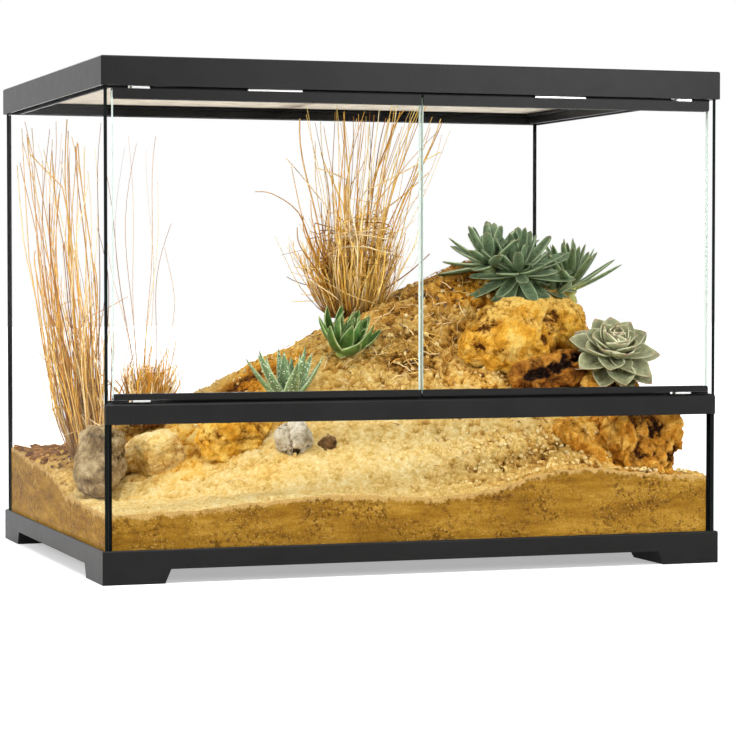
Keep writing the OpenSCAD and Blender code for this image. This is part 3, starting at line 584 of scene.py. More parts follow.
def sand_relief(x, v):
    """Relief of the sand's top in millimetres, with its tone and rust from 0 to 1; the tone is darker with
    painted shade in dips and pits and paler, a painted highlight, on crests.
    """
    places = np.stack([x / MM, v, sand_height(x, v)], axis=1)
    roots, gravel, rust = marked(x, v, ROOTS), marked(x, v, GRAVEL), marked(x, v, RUST)
    rugged = np.clip(0.25 + roots + 0.7 * rust, 0, 1)
    broad = clouds(places, 42, 3, 1)
    crumb = clouds(places, 11, 5, 2, 0.62)
    lump = lumps(places, 9.0, 3)
    pebble = lumps(places, 5.0, 4)
    pit = smoothstep(clouds(places, 6.5, 3, 6), 0.25, 0.75) * (0.35 + gravel)
    fine = clouds(places, 4.5, 3, 9, 0.6)
    relief = 1.6 * broad + 1.0 * crumb + 0.8 * fine + rugged * 2.4 * crumb
    relief += rugged * 2.4 * (lump - 0.6) + (0.35 + gravel) * 1.6 * (pebble - 0.6) - 1.6 * pit
    depth = relief - 1.6 * broad
    slope = 0.0013 * np.maximum(0, places[:, 2] - 120)
    tone = 0.13 + slope + 0.07 * broad + marked(x, v, BROWN)
    # Painted shade in the relief's dips and pits, and a painted highlight on its crests
    tone += np.clip(-depth, 0, 4) * (0.09 + 0.05 * rugged) - np.clip(depth, 0, 3) * 0.035 + 0.2 * pit
    rust = np.clip(rust * (1.0 + 0.9 * clouds(places, 26, 3, 8)), 0, 1)
    return relief, np.clip(tone, 0, 1), rust


def make_sand(material):
    """A fine grid for the top, less rough along the panes, and rows of faces down each side."""
    low, high = SAND_LOW, SAND_HIGH
    nx, ny = round((high.x - low.x) / SAND_STEP), round((high.y - low.y) / SAND_STEP)
    grid_x, grid_y = np.meshgrid(np.linspace(low.x, high.x, nx + 1), np.linspace(low.y, high.y, ny + 1))
    x, y = grid_x.ravel(), grid_y.ravel()
    v = (y - FRONT) / MM
    relief, tone, rust = sand_relief(x, v)
    edge = np.minimum.reduce([x - low.x, high.x - x, y - low.y, high.y - y]) / SMOOTH_RIM
    z = (sand_height(x, v) + relief * np.minimum(1.0, 0.65 + edge)) * MM
    points = np.stack([x, y, z], axis=1)
    index = np.arange(len(x)).reshape(ny + 1, nx + 1)
    bed = Builder()
    bed.add(points.tolist(), squares(index).tolist(), tone=tone, rust=rust, wall=0.0, depth=0.0)
    share = np.linspace(0, 1, WALL_ROWS + 1)[:, None] ** 1.3
    for rim in (index[0, :], index[:, -1], index[-1, ::-1], index[::-1, 0]):
        top = points[rim]
        side = np.repeat(top[None, :, :], WALL_ROWS + 1, axis=0)
        side[:, :, 2] += (low.z - top[None, :, 2]) * share
        depth = np.clip(share * (top[None, :, 2] - low.z) / DAMP_DEPTH, 0, 1)
        faces = squares(np.arange(depth.size).reshape(depth.shape))[:, (0, 3, 2, 1)]
        bed.add(side.reshape(-1, 3).tolist(), faces.tolist(),
                tone=0.0, rust=0.0, wall=1.0, depth=depth.ravel())
    corners = (low.x, low.y), (low.x, high.y), (high.x, high.y), (high.x, low.y)
    bed.add([(x, y, low.z) for x, y in corners], [(0, 1, 2, 3)], tone=0.0, rust=0.0, wall=1.0, depth=1.0)
    place_piece(bed.make("sand", material), ROOT, "sand", "sand_bed")


def scattered(rng, x, v, spread_x, spread_v, side_gap, front, back):
    """A random place on the sand round x, v that keeps off its sides, front and back."""
    x = across(x) + rng.gauss(0, spread_x * MM)
    x = min(max(x, SAND_LOW.x + side_gap * MM), SAND_HIGH.x - side_gap * MM)
    return x, min(max(v + rng.gauss(0, spread_v), front), back)


# ---- stones


def remeshed(node, voxel, lobes, shift):
    """The CAD node's shape, moved by shift and joined with lobes (x, v, z, radii), as an even fine mesh."""
    bm = bmesh.new()
    bm.from_mesh(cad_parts[node].data)
    bmesh.ops.translate(bm, verts=bm.verts[:], vec=Vector(shift) * MM)
    for x, v, z, *radii in lobes:
        size = Matrix.Diagonal([r * MM for r in radii] + [1])
        bmesh.ops.create_icosphere(
            bm, subdivisions=3, radius=1, matrix=Matrix.Translation(spot(x, v, z)) @ size)
    joined = bpy.data.meshes.new(node + "_joined")
    bm.to_mesh(joined)
    bm.free()
    obj = add_object(node + "_stone", joined)
    modify(obj, "REMESH", mode="VOXEL", voxel_size=voxel)
    modify(obj, "SMOOTH", iterations=10)
    modify(obj, "SUBSURF", levels=1)
    evaluated = obj.evaluated_get(bpy.context.evaluated_depsgraph_get())
    mesh = bpy.data.meshes.new_from_object(evaluated)
    obj.modifiers.clear()
    obj.data = mesh
    mesh.materials.clear()
    return obj


def mesh_column(column, key, count):
    """The x, y and z of each item of a mesh column."""
    flat = np.empty(count * 3)
    column.foreach_get(key, flat)
    return flat.reshape(-1, 3)


def make_stone(node, material, slot, seed, rough, size, crumbs=1.6, layers=0, lean=0, hollows=(), ridges=(),
               lobes=(), shift=(0, 0, 0), voxel=2.2, dusty=0.5):
    """A stone in place of a CAD stone, its relief in millimetres. Rough is how deep its lumps go and
    size how wide; crumbs is its fine relief; layers is the depth of its bedding, which leans by that
    many degrees; hollows and ridges are (x, v, z, radius, depth, shade), with x as across takes it and
    shade the painted shade each adds or takes away."""
    obj = remeshed(node, voxel * MM, lobes, shift)
    mesh = obj.data
    points = mesh_column(mesh.vertices, "co", len(mesh.vertices))
    normals = mesh_column(mesh.vertex_normals, "vector", len(mesh.vertices))
    places = points / MM
    broad = clouds(places, size, 2, seed)
    folds = np.abs(clouds(places, size * 0.9, 2, seed + 20))
    crumb = clouds(places, 8, 5, seed + 30, 0.65)
    lump = lumps(places + 2.0 * crumb[:, None], 11, seed + 40)
    push = rough * (0.6 * broad + 0.7 * np.minimum(folds, 0.5) - 0.55)
    push += crumbs * (crumb + 0.9 * (lump - 0.7))
    # Painted shade in crevices, folds and the joints between lumps
    hollow = np.clip(0.25 - 0.3 * broad - 0.9 * folds + 0.4 - 0.35 * crumb + 0.5 * (0.6 - lump), 0, 1) * 0.8
    if layers:
        angle = math.radians(lean)
        height = places @ np.array([math.sin(angle), 0.15, math.cos(angle)]) + 2.2 * broad + 0.8 * crumb
        bed = np.abs((height / 8.0) % 1 - 0.5) * 2
        push += layers * (np.minimum(1, bed * 2) - 1)
        # Painted shade in the bedding grooves
        hollow = np.maximum(hollow, (0.95 - bed * 2.6) * min(1.0, layers / 2))
    # A hollow pushes the surface in and adds painted shade, with less shade round its rim; a ridge pushes it
    # out and takes shade away
    for sign, dents in ((-1, hollows), (1, ridges)):
        for x, v, z, radius, depth, shade in dents:
            near = np.linalg.norm(points - np.array(spot(x, v, z)), axis=1) / (radius * MM) + 0.3 * crumb
            dent = np.exp(-np.maximum(near, 0) ** 3)
            push += sign * depth * dent
            hollow += -sign * shade * (1.1 * dent - 0.35 * np.exp(-((near - 1.25) / 0.22) ** 2))
    dust = np.clip(dusty * (normals[:, 2] * 1.3 + 0.25) + 0.35 * clouds(places, 20, 3, seed + 50), 0, 1)
    points = points + normals * push[:, None] * MM
    mesh.vertices.foreach_set("co", points.ravel())
    carry(mesh, "hollow", np.clip(hollow, 0, 1))
    carry(mesh, "dust", dust)
    mesh.polygons.foreach_set("use_smooth", [True] * len(mesh.polygons))
    mesh.materials.append(material)
    mesh.update()
    place_piece(obj, ROOT, slot, node)


def make_litter(name, slot, material, seed, places, *replaced):
    """Loose flat chips or pebbles lying on the sand: places are (x, v, spreads, count, size, flatness)."""
    rng = random.Random(seed)
    pile = Builder()
    for *place, count, size, flat in places:
        for _ in range(count):
            x, v = scattered(rng, *place, 5, 12, 440)
            length = size * MM * rng.uniform(0.45, 1.25)
            wide = length * rng.uniform(0.5, 0.9)
            tall = length * flat * rng.uniform(0.6, 1.2)
            turns = rng.uniform(-0.5, 0.5), rng.uniform(-0.5, 0.5), rng.uniform(0, FULL_TURN)
            turn = Euler(turns).to_matrix()
            foot = Vector((x, behind_front(v), float(sand_height(x, v)) * MM + tall * 0.25))
            points = []
            for ring, lift in ((0.75, -0.5), (1.0, 0.0), (0.7, 0.5)):
                for k in range(6):
                    angle = k * math.pi / 3 + rng.uniform(-0.25, 0.25)
                    r = ring * rng.uniform(0.8, 1.1)
                    ahead, aside = length / 2 * r * math.cos(angle), wide / 2 * r * math.sin(angle)
                    points.append(turn @ Vector((ahead, aside, lift * tall)) + foot)
            # Each chip is darkened by a random share of the painted shade colour of hollows
            pile.add(points, tube_faces(3, 6), hollow=rng.uniform(0, 0.5), dust=rng.uniform(0, 0.9))
    place_piece(pile.make(name, material, smooth=False), ROOT, slot, *replaced)


# ---- succulents


LEAF_COUNTS = ((16, 14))


def leaf_into(plant, root, frame_of, length, width, thick, rise, curl, widest, foot, cup, teeth=0.0,
              blunt=0.85):
    """One leaf: its middle line leaves root at the angle rise and bends by curl towards its tip."""
    along_count, round_count = LEAF_COUNTS
    points, along, margin = [], [], []
    place = Vector((0, 0, 0))
    for i in range(along_count + 1):
        t = i / along_count
        angle = rise + curl * t
        ahead = Vector((math.cos(angle), 0, math.sin(angle)))
        up = Vector((-math.sin(angle), 0, math.cos(angle)))
        if t < widest:
            half = width / 2 * (foot + (1 - foot) * math.sin(t / widest * math.pi / 2))
        else:
            half = width / 2 * max(0.0, math.cos((t - widest) / (1 - widest) * math.pi / 2)) ** blunt
        half = max(half, 0.0003)
        body = thick * (1 - t) ** 0.6 * 0.5 + 0.0002
        for k in range(round_count):
            phi = 2 * math.pi * k / round_count
            side, lift = math.cos(phi), math.sin(phi)
            height = lift * body * (0.45 if lift > 0 else 1.0) + cup * half * side ** 2
            saw = 1 + teeth * (i % 2) if abs(side) > 0.95 else 1.0
            points.append(root + frame_of @ (place + Vector((0, half * side * saw, 0)) + up * height))
            along.append(t)
            margin.append(side ** 2)
        place = place + ahead * (length / along_count)
    plant.add(points, tube_faces(along_count + 1, round_count), along=along, margin=margin)


def trunk_into(plant, rng, crown, length):
    """A short rough stem, with the stubs of old leaves, from a crown down into the ground."""
    points, round_count, rings = [], 12, 9
    for i in range(rings):
        t = i / (rings - 1)
        for k in range(round_count):
            angle = 2 * math.pi * k / round_count + 0.5 * i
            r = (6.5 + 2.5 * abs(2 * t - 1) + rng.uniform(-1.0, 1.0)) * MM
            points.append(crown + polar(r, angle, (2 - length * t) * MM))
    plant.add(points, tube_faces(rings, round_count, downward=True), along=0.0, margin=0.35)


def rosette_into(plant, rng, at, leaves, length, width, thick, rises, curl, lean=0.0, turn=0.0, lift=4,
                 inner=0.6, spread=1.0, trunk=16, **shape):
    """Leaves round one crown on a trunk that long. at is what spot takes; rises are the angles, in
    degrees, of the innermost and outermost leaves; lean tips the crown to the front, turn swings it."""
    tip = Euler((math.radians(lean), 0, math.radians(turn))).to_matrix()
    crown = Vector(spot(*at))
    trunk_into(plant, rng, crown, trunk)
    for k in range(leaves):
        share = (k + 0.5) / leaves
        rise = math.radians(rises[0] + (rises[1] - rises[0]) * share ** 0.8 + rng.uniform(-6, 6) * spread)
        around = Matrix.Rotation(GOLDEN * k + rng.uniform(-0.15, 0.15) * spread, 3, "Z")
        size = (inner + (1 - inner) * share) * rng.uniform(1 - 0.12 * spread, 1 + 0.06 * spread)
        start = crown + tip @ (around @ Vector((0.0015 + 0.002 * share, 0, lift * MM * (1 - share))))
        leaf_into(plant, start, tip @ around, length * size * MM, width * (0.7 + 0.3 * share) * MM,
                  thick * MM, rise, math.radians(curl * rng.uniform(0.6, 1.4)), **shape)


def make_plant(name, node, slot, material, seed, *crowns, **shape):
    """A plant of one or more crowns: each is a dictionary of what rosette_into takes."""
    rng = random.Random(seed)
    plant = Builder()
    for crown in crowns:
        rosette_into(plant, rng, **{**shape, **crown})
    place_piece(plant.make(name, material), ROOT, slot, node)


# ---- dry grass

STEM_SIDES = 4
# How many points the stems of each kind have
TALL_POINTS, THATCH_POINTS, TANGLE_POINTS, LITTER_POINTS = 16, 9, 12, 7
PANE_GAP = Vector((2 * MM, 2 * MM, 0))
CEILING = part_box("screen_mesh")[0].z - 6 * MM


def stem_into(tuft, path, radius, tint, flat=1.0, end=0.4):
    """A stem along a list of points that thins to that share of its radius at its end."""
    points, along = [], []
    count = len(path)
    for i, point in enumerate(path):
        t = i / (count - 1)
        ahead = (path[min(i + 1, count - 1)] - path[max(i - 1, 0)]).normalized()
        side = ahead.orthogonal().normalized()
        other = ahead.cross(side)
        r = radius * (1 - (1 - end) * t)
        for k in range(STEM_SIDES):
            angle = 2 * math.pi * k / STEM_SIDES
            points.append(point + side * (r * math.cos(angle)) + other * (r * flat * math.sin(angle)))
            along.append(t)
    tuft.add(points, tube_faces(count, STEM_SIDES), along=along, tint=tint)


class Tuft:
    """One dry tuft. at is its foot, as spot takes it; it stays over the sand and under the screen."""

    def __init__(self, at, foot_r, seed):
        self.rng = random.Random(seed)
        self.mesh = Builder()
        self.at = Vector(spot(*at))
        self.foot_r = foot_r * MM
        self.low, self.high = SAND_LOW + PANE_GAP, SAND_HIGH - PANE_GAP

    def kept(self, path):
        for point in path:
            point.x = min(max(point.x, self.low.x), self.high.x)
            point.y = min(max(point.y, self.low.y), self.high.y)
            point.z = min(point.z, CEILING)
        return path

    def root(self, k, number, stray):
        """Stem k of number: its share of the way out from the middle, its angle and its foot."""
        share, angle = math.sqrt((k + 0.5) / number), GOLDEN * k + self.rng.uniform(-stray, stray)
        return share, angle, self.at + polar(self.foot_r * share, angle, -5 * MM)

    def grow(self, foot, end, wander, count, bow, kink):
        """A path from foot to end that bends out low down where bow is under 1, high up over it."""
        rng = self.rng
        span = end - foot
        phase = [rng.uniform(0, FULL_TURN) for _ in range(4)]
        path = []
        bent = rng.uniform(0.3, 0.8) if rng.random() < kink else 2.0
        fold = Vector((rng.uniform(-1, 1), rng.uniform(-1, 1), rng.uniform(-1.2, 0.1)))
        for i in range(count):
            t = i / (count - 1)
            out = t ** bow
            sway = wander * MM * t
            point = foot + Vector((span.x * out, span.y * out, span.z * t))
            point.x += sway * (math.sin(2.3 * t + phase[0]) + 0.4 * math.sin(7 * t + phase[1]))
            point.y += sway * (math.sin(2.9 * t + phase[2]) + 0.4 * math.sin(6 * t + phase[3]))
            if t > bent:
                point += fold * (t - bent) * span.length
            path.append(point)
        return self.kept(path)

    def tall(self, number, top, spread, radius, wander=9, bow=1.15, kink=0.12, shortest=0.6):
        """Long stems that fan out to an oval of that spread along X and V round top."""
        rng = self.rng
        centre = Vector(spot(*top))
        wide, deep = spread[0] * MM, spread[1] * MM
        for k in range(number):
            share, angle, foot = self.root(k, number, 0.4)
            out = share * rng.uniform(0.8, 1.12)
            end = centre + Vector((wide * out * math.cos(angle), deep * out * math.sin(angle), 0))
            reach = rng.uniform(shortest, 1.04) if rng.random() < 0.5 else rng.uniform(0.9, 1.04)
            end = foot + (end - foot) * reach
            flat = rng.choice((1.0, 1.0, 0.45))
            size = rng.uniform(0.65, 1.25) * radius * MM * (1.5 if flat < 1 else 1)
            path = self.grow(foot, end, wander, TALL_POINTS, bow * rng.uniform(0.85, 1.2), kink)
            stem_into(self.mesh, path, size, rng.random(), flat, rng.uniform(0.3, 0.8))

    def thatch(self, number, reach, height, radius, bow, curl=0.0, lean=(0, 0)):
        """Short dense stems that lean out all round, and by lean along X and V; curl turns their ends in."""
        rng = self.rng
        for k in range(number):
            share, angle, foot = self.root(k, number, 0.3)
            length = rng.uniform(0.25, 1.0)
            out = reach * MM * share * length * rng.uniform(0.8, 1.15)
            end = foot + polar(out, angle, height * MM * length)
            end += Vector((rng.gauss(0, 4) + lean[0] * length, rng.gauss(0, 4) + lean[1] * length, 0)) * MM
            path = self.grow(foot, end, 6, THATCH_POINTS, bow, 0.15)
            inward = polar(-1, angle, 0.3) * (curl * rng.random() * MM)
            path = [p + inward * (i / (THATCH_POINTS - 1)) ** 3 for i, p in enumerate(path)]
            stem_into(self.mesh, self.kept(path), radius * MM * rng.uniform(0.6, 1.3), rng.random() * 0.8,
                      rng.choice((1.0, 0.4)), 0.5)

    def tangle(self, number, reach, low, high, radius):
        """Broken stems that wind round the tuft between two heights."""
        rng = self.rng
        for _ in range(number):
            z = rng.uniform(low, high) * MM
            r = reach * MM * rng.uniform(0.5, 1.0)
            start, sweep = rng.uniform(0, FULL_TURN), rng.uniform(0.7, 2.6)
            tilt = rng.uniform(-14, 14) * MM
            path = []
            for i in range(TANGLE_POINTS):
                t = i / (TANGLE_POINTS - 1)
                wide = r * (1 + 0.25 * math.sin(5 * t + start))
                path.append(self.at + polar(wide, start + sweep * t, z + tilt * (2 * t - 1)))
            stem_into(self.mesh, self.kept(path), radius * MM * rng.uniform(0.6, 1.2), rng.random(),
                      1.0, 0.6)

    def strand(self, points, radius, tint):
        """One stem of its own, through points (dx, dv, height) from the foot."""
        ends = [self.at + Vector(p) * MM for p in points]
        path = []
        for i in range(len(ends) - 1):
            a, b = ends[max(i - 1, 0)], ends[i]
            c, d = ends[i + 1], ends[min(i + 2, len(ends) - 1)]
            for t in (0, 0.25, 0.5, 0.75):
                path.append(0.5 * (2 * b + (c - a) * t + (2 * a - 5 * b + 4 * c - d) * t ** 2
                                   + (3 * b - a - 3 * c + d) * t ** 3))
        path.append(ends[-1])
        stem_into(self.mesh, self.kept(path), radius * MM, tint)

    def finish(self, name, material, *replaced):
        place_piece(self.mesh.make(name, material), ROOT, "dry_grass", *replaced)


def make_straw_litter(material, places, seed):
    """Short bits of stem lying on the sand: places are (x, v, spreads, count, longest)."""
    rng = random.Random(seed)
    litter = Builder()
    for *place, count, longest in places:
        for _ in range(count):
            x, v = scattered(rng, *place, 20, 30, 425)
            length, way = longest * MM * rng.uniform(0.3, 1), rng.uniform(0, FULL_TURN)
            bow = rng.uniform(-0.5, 0.5)
            path = []
            for i in range(LITTER_POINTS):
                t = i / (LITTER_POINTS - 1) - 0.5
                angle = way + bow * t * 2
                px = x + length * t * math.cos(angle)
                pv = v + length / MM * t * math.sin(angle)
                z = float(sand_height(px, pv)) * MM + (1.6 + 3 * rng.random() * (0.5 - abs(t))) * MM
                path.append(Vector((px, behind_front(pv), z)))
            stem_into(litter, path, rng.uniform(0.35, 0.8) * MM, rng.random(), 0.8, 0.6)
    place_piece(litter.make("straw_litter", material), ROOT, "dry_grass")


# ---- studio

# The way to the front, where the studio is dim
DIM_WAY = (-0.30, -0.954, 0.0)
FLOOR_HALF = 12.0
FLOOR_GLOSS = 0.3


def make_world():
    """White to the camera, also through glass; a soft studio, dim in front, to everything else."""
    world = bpy.data.worlds.new("studio")
    bpy.context.scene.world = world
    world.use_nodes = True
    n = Nodes(world.node_tree)
    n.tree.nodes.clear()
    way = n.add("TexCoord").outputs["Generated"]
    front = n.add("VectorMath", {0: way, 1: DIM_WAY}, operation="DOT_PRODUCT").outputs["Value"]
    level = n.remap(front, 0.3, 0.95, 0.42, 0.07, interpolation_type="SMOOTHSTEP")
    soft, white = (n.add("Background", {"Color": (1, 1, 1, 1), "Strength": strength}).outputs[0]
                   for strength in (level, 1.0))
    mix = n.add("MixShader", {0: n.seen(1.0), 1: soft, 2: white})
    n.add("OutputWorld", {"Surface": mix.outputs[0]})


def make_lamp(name, at, aim, size, power):
    light = bpy.data.lights.new(name, "AREA")
    light.shape = "RECTANGLE"
    light.size, light.size_y = size
    light.energy = power
    lamp = add_object(name, light)
    lamp.location = at
    lamp.rotation_euler = (Vector(aim) - Vector(at)).to_track_quat("-Z", "Y").to_euler()


def make_floor():
    """A white floor that keeps the shadow: it reaches full white to the camera, also through glass."""
    n = Surface("floor")
    away = n.add("VectorMath", {0: n.place}, operation="LENGTH").outputs["Value"]
    n.set(Base_Color=(0.86, 0.86, 0.86, 1), Roughness=0.9, Specular_IOR_Level=0.1,
          Emission_Color=(1, 1, 1, 1),
          Emission_Strength=n.math("MULTIPLY", n.seen(FLOOR_GLOSS), n.remap(away, 0.5, 1.6, 0.42, 1.0)))
    sheet = Builder()
    s = FLOOR_HALF
    sheet.add([(-s, -s, 0), (s, -s, 0), (s, s, 0), (-s, s, 0)], [(0, 1, 2, 3)])
    sheet.make("floor", n.material)


# ---- the terrarium

make_camera()
bpy.context.scene.view_settings.view_transform = "Standard"
make_world()
make_floor()
make_lamp("top_light", (-0.25, -0.75, 1.9), (0, 0, 0.15), (1.5, 1.2), 34)
make_lamp("right_light", (1.1, -2.4, 0.95), (0.1, 0, 0.3), (0.9, 0.7), 21)
make_lamp("left_light", (-2.1, -0.5, 0.9), (0, 0, 0.2), (0.9, 1.2), 20)
make_lamp("back_light", (0.5, 2.3, 1.1), (0, 0, 0.2), (1.2, 0.9), 12)

plastic = moulded_plastic("frame_plastic", 0.010, 0.33, 0.0007)
strip_plastic = moulded_plastic("strip_plastic", 0.008, 0.34, 0.0009)
bush_plastic = moulded_plastic("bush_plastic", 0.05, 0.3, 0.0012)
glass = clear_glass()
dark_edge = cut_edge("dark_edge", (0.006, 0.009, 0.008, 1), 0.5, 0.06)
frosted_edge = cut_edge("frosted_edge", (214, 230, 220), 0.6, 0.3)
silicone = two_tone("silicone", (0.01,), (0.006, 0.006, 0.006, 1), (0.014, 0.014, 0.014, 1),
                    (0.009, 2), 0.0003, Roughness=0.35, Specular_IOR_Level=0.12)
dark_ferrite = two_tone("dark_ferrite", (0.002,), (0.02, 0.02, 0.022, 1), (0.06, 0.06, 0.065, 1), (0.0008,),
                        0.00005, Roughness=0.5, Metallic=0.4)
screen_wire = two_tone("screen_wire", (0.02, 4), (196, 186, 168), (226, 218, 202), (0.0006,), 0.00003,
                       Roughness=0.45, Metallic=0.2)

SIDES = ("left", "right")
FRAMES = ("base_frame", "top_frame", "front_rail", "rail_end_cap_left", "rail_end_cap_right", "screen_frame")
STRIPS = [f"door_{edge}_strip_{side}" for edge in ("top", "bottom") for side in SIDES]
CATCH_PLATES = [f"catch_plate_{side}" for side in SIDES]
HINGES = [f"{kind}_{side}" for kind in ("lower_hinge_shoe", "upper_hinge_shoe", "hinge_pins", "hinge_screws")
          for side in SIDES]
paint(plastic, *FRAMES)
paint(strip_plastic, *STRIPS)
paint(bush_plastic, "lower_hinge_bushes", "upper_hinge_bushes")
paint(silicone, "corner_sealant", "floor_sealant")
paint(satin_steel(), *HINGES, *CATCH_PLATES)
paint(dark_ferrite, "door_magnets")
soften(0.5 * MM, *FRAMES)
soften(0.35 * MM, *STRIPS)
soften(0.15 * MM, *CATCH_PLATES)

for pane in ("bottom_pane", "left_pane", "right_pane", "back_pane", "front_lower_pane"):
    make_pane(pane, ROOT, "clear_glass", glass, dark_edge)
for side in SIDES:
    make_pane("door_glass_" + side, "door_" + side, "door_glass", glass, frosted_edge)
make_screen(screen_wire)
# Dark strips standing in for the shade in the slots beside the doors' ends
make_slot_shade(plastic)
make_sand(sand_material())

# Light, middle, dark, and the colour of the painted shade in hollows
STONE_TONES = {
    "sandstone": ((255, 218, 118), (240, 180, 60), (206, 138, 32), (96, 52, 12)),
    "rusty_sandstone": ((250, 200, 96), (216, 148, 44), (166, 98, 20), (40, 16, 4)),
    "pale_sandstone": ((255, 236, 176), (244, 208, 126), (216, 168, 82), (186, 138, 66)),
    "brown_sandstone": ((214, 152, 60), (158, 98, 26), (104, 58, 12), (26, 10, 2)),
    "grey_stone": ((204, 182, 138), (156, 130, 86), (108, 82, 46), (48, 34, 16)),
    "white_stone": ((240, 232, 212), (214, 202, 174), (154, 136, 104), (84, 66, 40)),
    "dark_stone": ((186, 148, 100), (136, 100, 60), (90, 62, 32), (36, 22, 8)),
    "bark": ((196, 140, 70), (150, 98, 40), (104, 62, 22), (50, 28, 10)),
}
stone = {name: stone_material(name, *tones) for name, tones in STONE_TONES.items()}

make_stone("grey_rock", stone["grey_stone"], "grey_stone", 1, rough=5, size=26,
           lobes=[(580, 152, 90, 24, 32, 26)])
make_stone("layered_slab", stone["pale_sandstone"], "sandstone", 2, rough=2.4, size=34, crumbs=1.1,
           layers=0.7, lean=-24, lobes=[(534, 178, 100, 30, 24, 18), (500, 168, 88, 30, 26, 18)])
make_stone("orange_rock", stone["sandstone"], "sandstone", 3, rough=5, size=24, crumbs=2.2)
make_stone("white_rock", stone["white_stone"], "white_stone", 4, rough=4, size=18, crumbs=1.8, voxel=1.6,
           hollows=[(398, 82, 106, 7, 5, 1), (386, 82, 116, 5, 3, 1)])
make_stone("dark_stone", stone["dark_stone"], "dark_stone", 5, rough=3, size=14, crumbs=1.4, voxel=1.4)
make_stone("ridge_boulder_left", stone["sandstone"], "sandstone", 6, rough=5, size=40, crumbs=2.2, dusty=0.6,
           hollows=[(114, 132, 234, 14, 6, 0.6), (200, 120, 236, 13, 5, 0.6), (208, 114, 210, 14, 8, 0.7),
                    (194, 102, 192, 11, 9, 0.9), (182, 102, 188, 10, 8, 1), (168, 104, 194, 9, 7, 1),
                    (156, 108, 199, 9, 7, 0.9), (142, 112, 204, 9, 7, 0.9), (130, 116, 212, 9, 7, 0.8),
                    (158, 126, 240, 18, 6, 0.2)],
           ridges=[(176, 106, 216, 20, 6, 0.1), (144, 112, 222, 18, 5, 0.1)], shift=(13, 0, 5),
           lobes=[(138, 150, 220, 32, 26, 28), (192, 146, 212, 24, 24, 26), (122, 146, 226, 20, 18, 18)])
make_stone("ridge_boulder_right", stone["sandstone"], "sandstone", 7, rough=4, size=36, crumbs=2.2,
           dusty=0.7, hollows=[(115, 134, 231, 16, 6, 0.55), (132, 132, 222, 9, 4, 0.4)],
           ridges=[(100, 140, 222, 14, 4, 0.1)],
           lobes=[(112, 160, 236, 22, 22, 22), (88, 164, 222, 20, 22, 24), (130, 154, 236, 20, 18, 18)])
make_stone("ridge_stone", stone["brown_sandstone"], "sandstone", 8, rough=7, size=24, crumbs=2.8, dusty=0.25,
           hollows=[(156, 92, 180, 10, 6, 1), (144, 90, 185, 10, 6, 1), (131, 92, 190, 10, 7, 1),
                    (118, 94, 195, 10, 7, 1), (105, 98, 201, 10, 6, 1)],
           ridges=[(130, 92, 204, 14, 4, 0), (112, 92, 180, 14, 4, 0)],
           lobes=[(112, 110, 188, 26, 22, 22), (140, 108, 184, 26, 20, 18), (160, 106, 176, 20, 18, 14)])
make_stone("front_outcrop", stone["rusty_sandstone"], "sandstone", 9, rough=7, size=34, crumbs=3.2,
           dusty=0.4, lobes=[(72, 100, 160, 36, 28, 28)],
           hollows=[(106, 22, 134, 11, 6, 0.6), (53, 20, 132, 10, 6, 0.5), (30, 20, 100, 12, 5, 0.5),
                    (80, 16, 106, 12, 5, 0.4)])
make_stone("front_slab", stone["rusty_sandstone"], "sandstone", 10, rough=5, size=22, crumbs=2.4)

make_litter("bark_chips", "bark", stone["bark"], 3, [
    (-46, 392, 24, 26, 60, 19, 0.22), (-60, 330, 34, 30, 40, 13, 0.25), (-30, 290, 14, 40, 22, 12, 0.3),
], "bark_litter")
make_litter("sand_clods", "sand", stone["pale_sandstone"], 5, [
    (190, 36, 60, 20, 360, 4.2, 0.7), (215, 190, 70, 50, 160, 5.0, 0.7), (90, 24, 60, 10, 90, 5, 0.6),
    (330, 60, 140, 40, 160, 3.0, 0.7), (-110, 60, 60, 40, 90, 3.5, 0.7), (400, 290, 50, 24, 60, 4.5, 0.7),
    (110, 130, 50, 24, 80, 5, 0.7), (240, 390, 130, 34, 260, 4.5, 0.7),
])
make_litter("dark_grit", "dark_stone", stone["dark_stone"], 7, [
    (255, 240, 46, 40, 150, 4.0, 0.6), (-50, 320, 40, 50, 60, 4.0, 0.5), (160, 285, 50, 30, 60, 4.5, 0.6),
    (180, 70, 40, 20, 16, 2.2, 0.6), (260, 370, 110, 40, 110, 5.0, 0.6),
])

make_plant(
    "green_agave_leaves", "green_agave", "agave_green",
    leaf_material("agave_green", (160, 182, 84), (74, 120, 40), (206, 218, 156), (150, 140, 80),
                  bloom=0.12), 11,
    dict(at=(316, 204, 203), leaves=30, length=49, rises=(88, 10), curl=58, lean=30, turn=20),
    width=15, thick=6, teeth=0.1, foot=0.9, widest=0.35, cup=0.5, inner=0.75, blunt=0.7)
make_plant(
    "spotted_leaves", "spotted_haworthia", "haworthia_green",
    leaf_material("haworthia_green", (160, 176, 108), (100, 136, 80), (184, 200, 156), (120, 130, 80),
                  spotted=True), 12,
    dict(at=(391, 150, 154), leaves=18, length=68, rises=(84, 34), curl=20),
    width=15, thick=7, foot=0.9, widest=0.2, cup=0.3, teeth=0.06)
make_plant(
    "blue_leaves", "blue_agave_large", "agave_blue",
    leaf_material("agave_blue", (124, 142, 78), (92, 120, 82), (188, 202, 162), (118, 108, 70),
                  bloom=0.25), 13,
    dict(at=(124, 210, 280), leaves=46, length=64, rises=(86, -44), lean=32, turn=-34),
    dict(at=(150, 222, 290), leaves=26, length=58, rises=(86, -16), lean=6, turn=-50),
    dict(at=(104, 216, 272), leaves=12, length=44, rises=(70, 0), lean=40, turn=20),
    width=14, thick=7, curl=14, foot=0.65, widest=0.6, cup=0.3, inner=0.68, blunt=0.32)
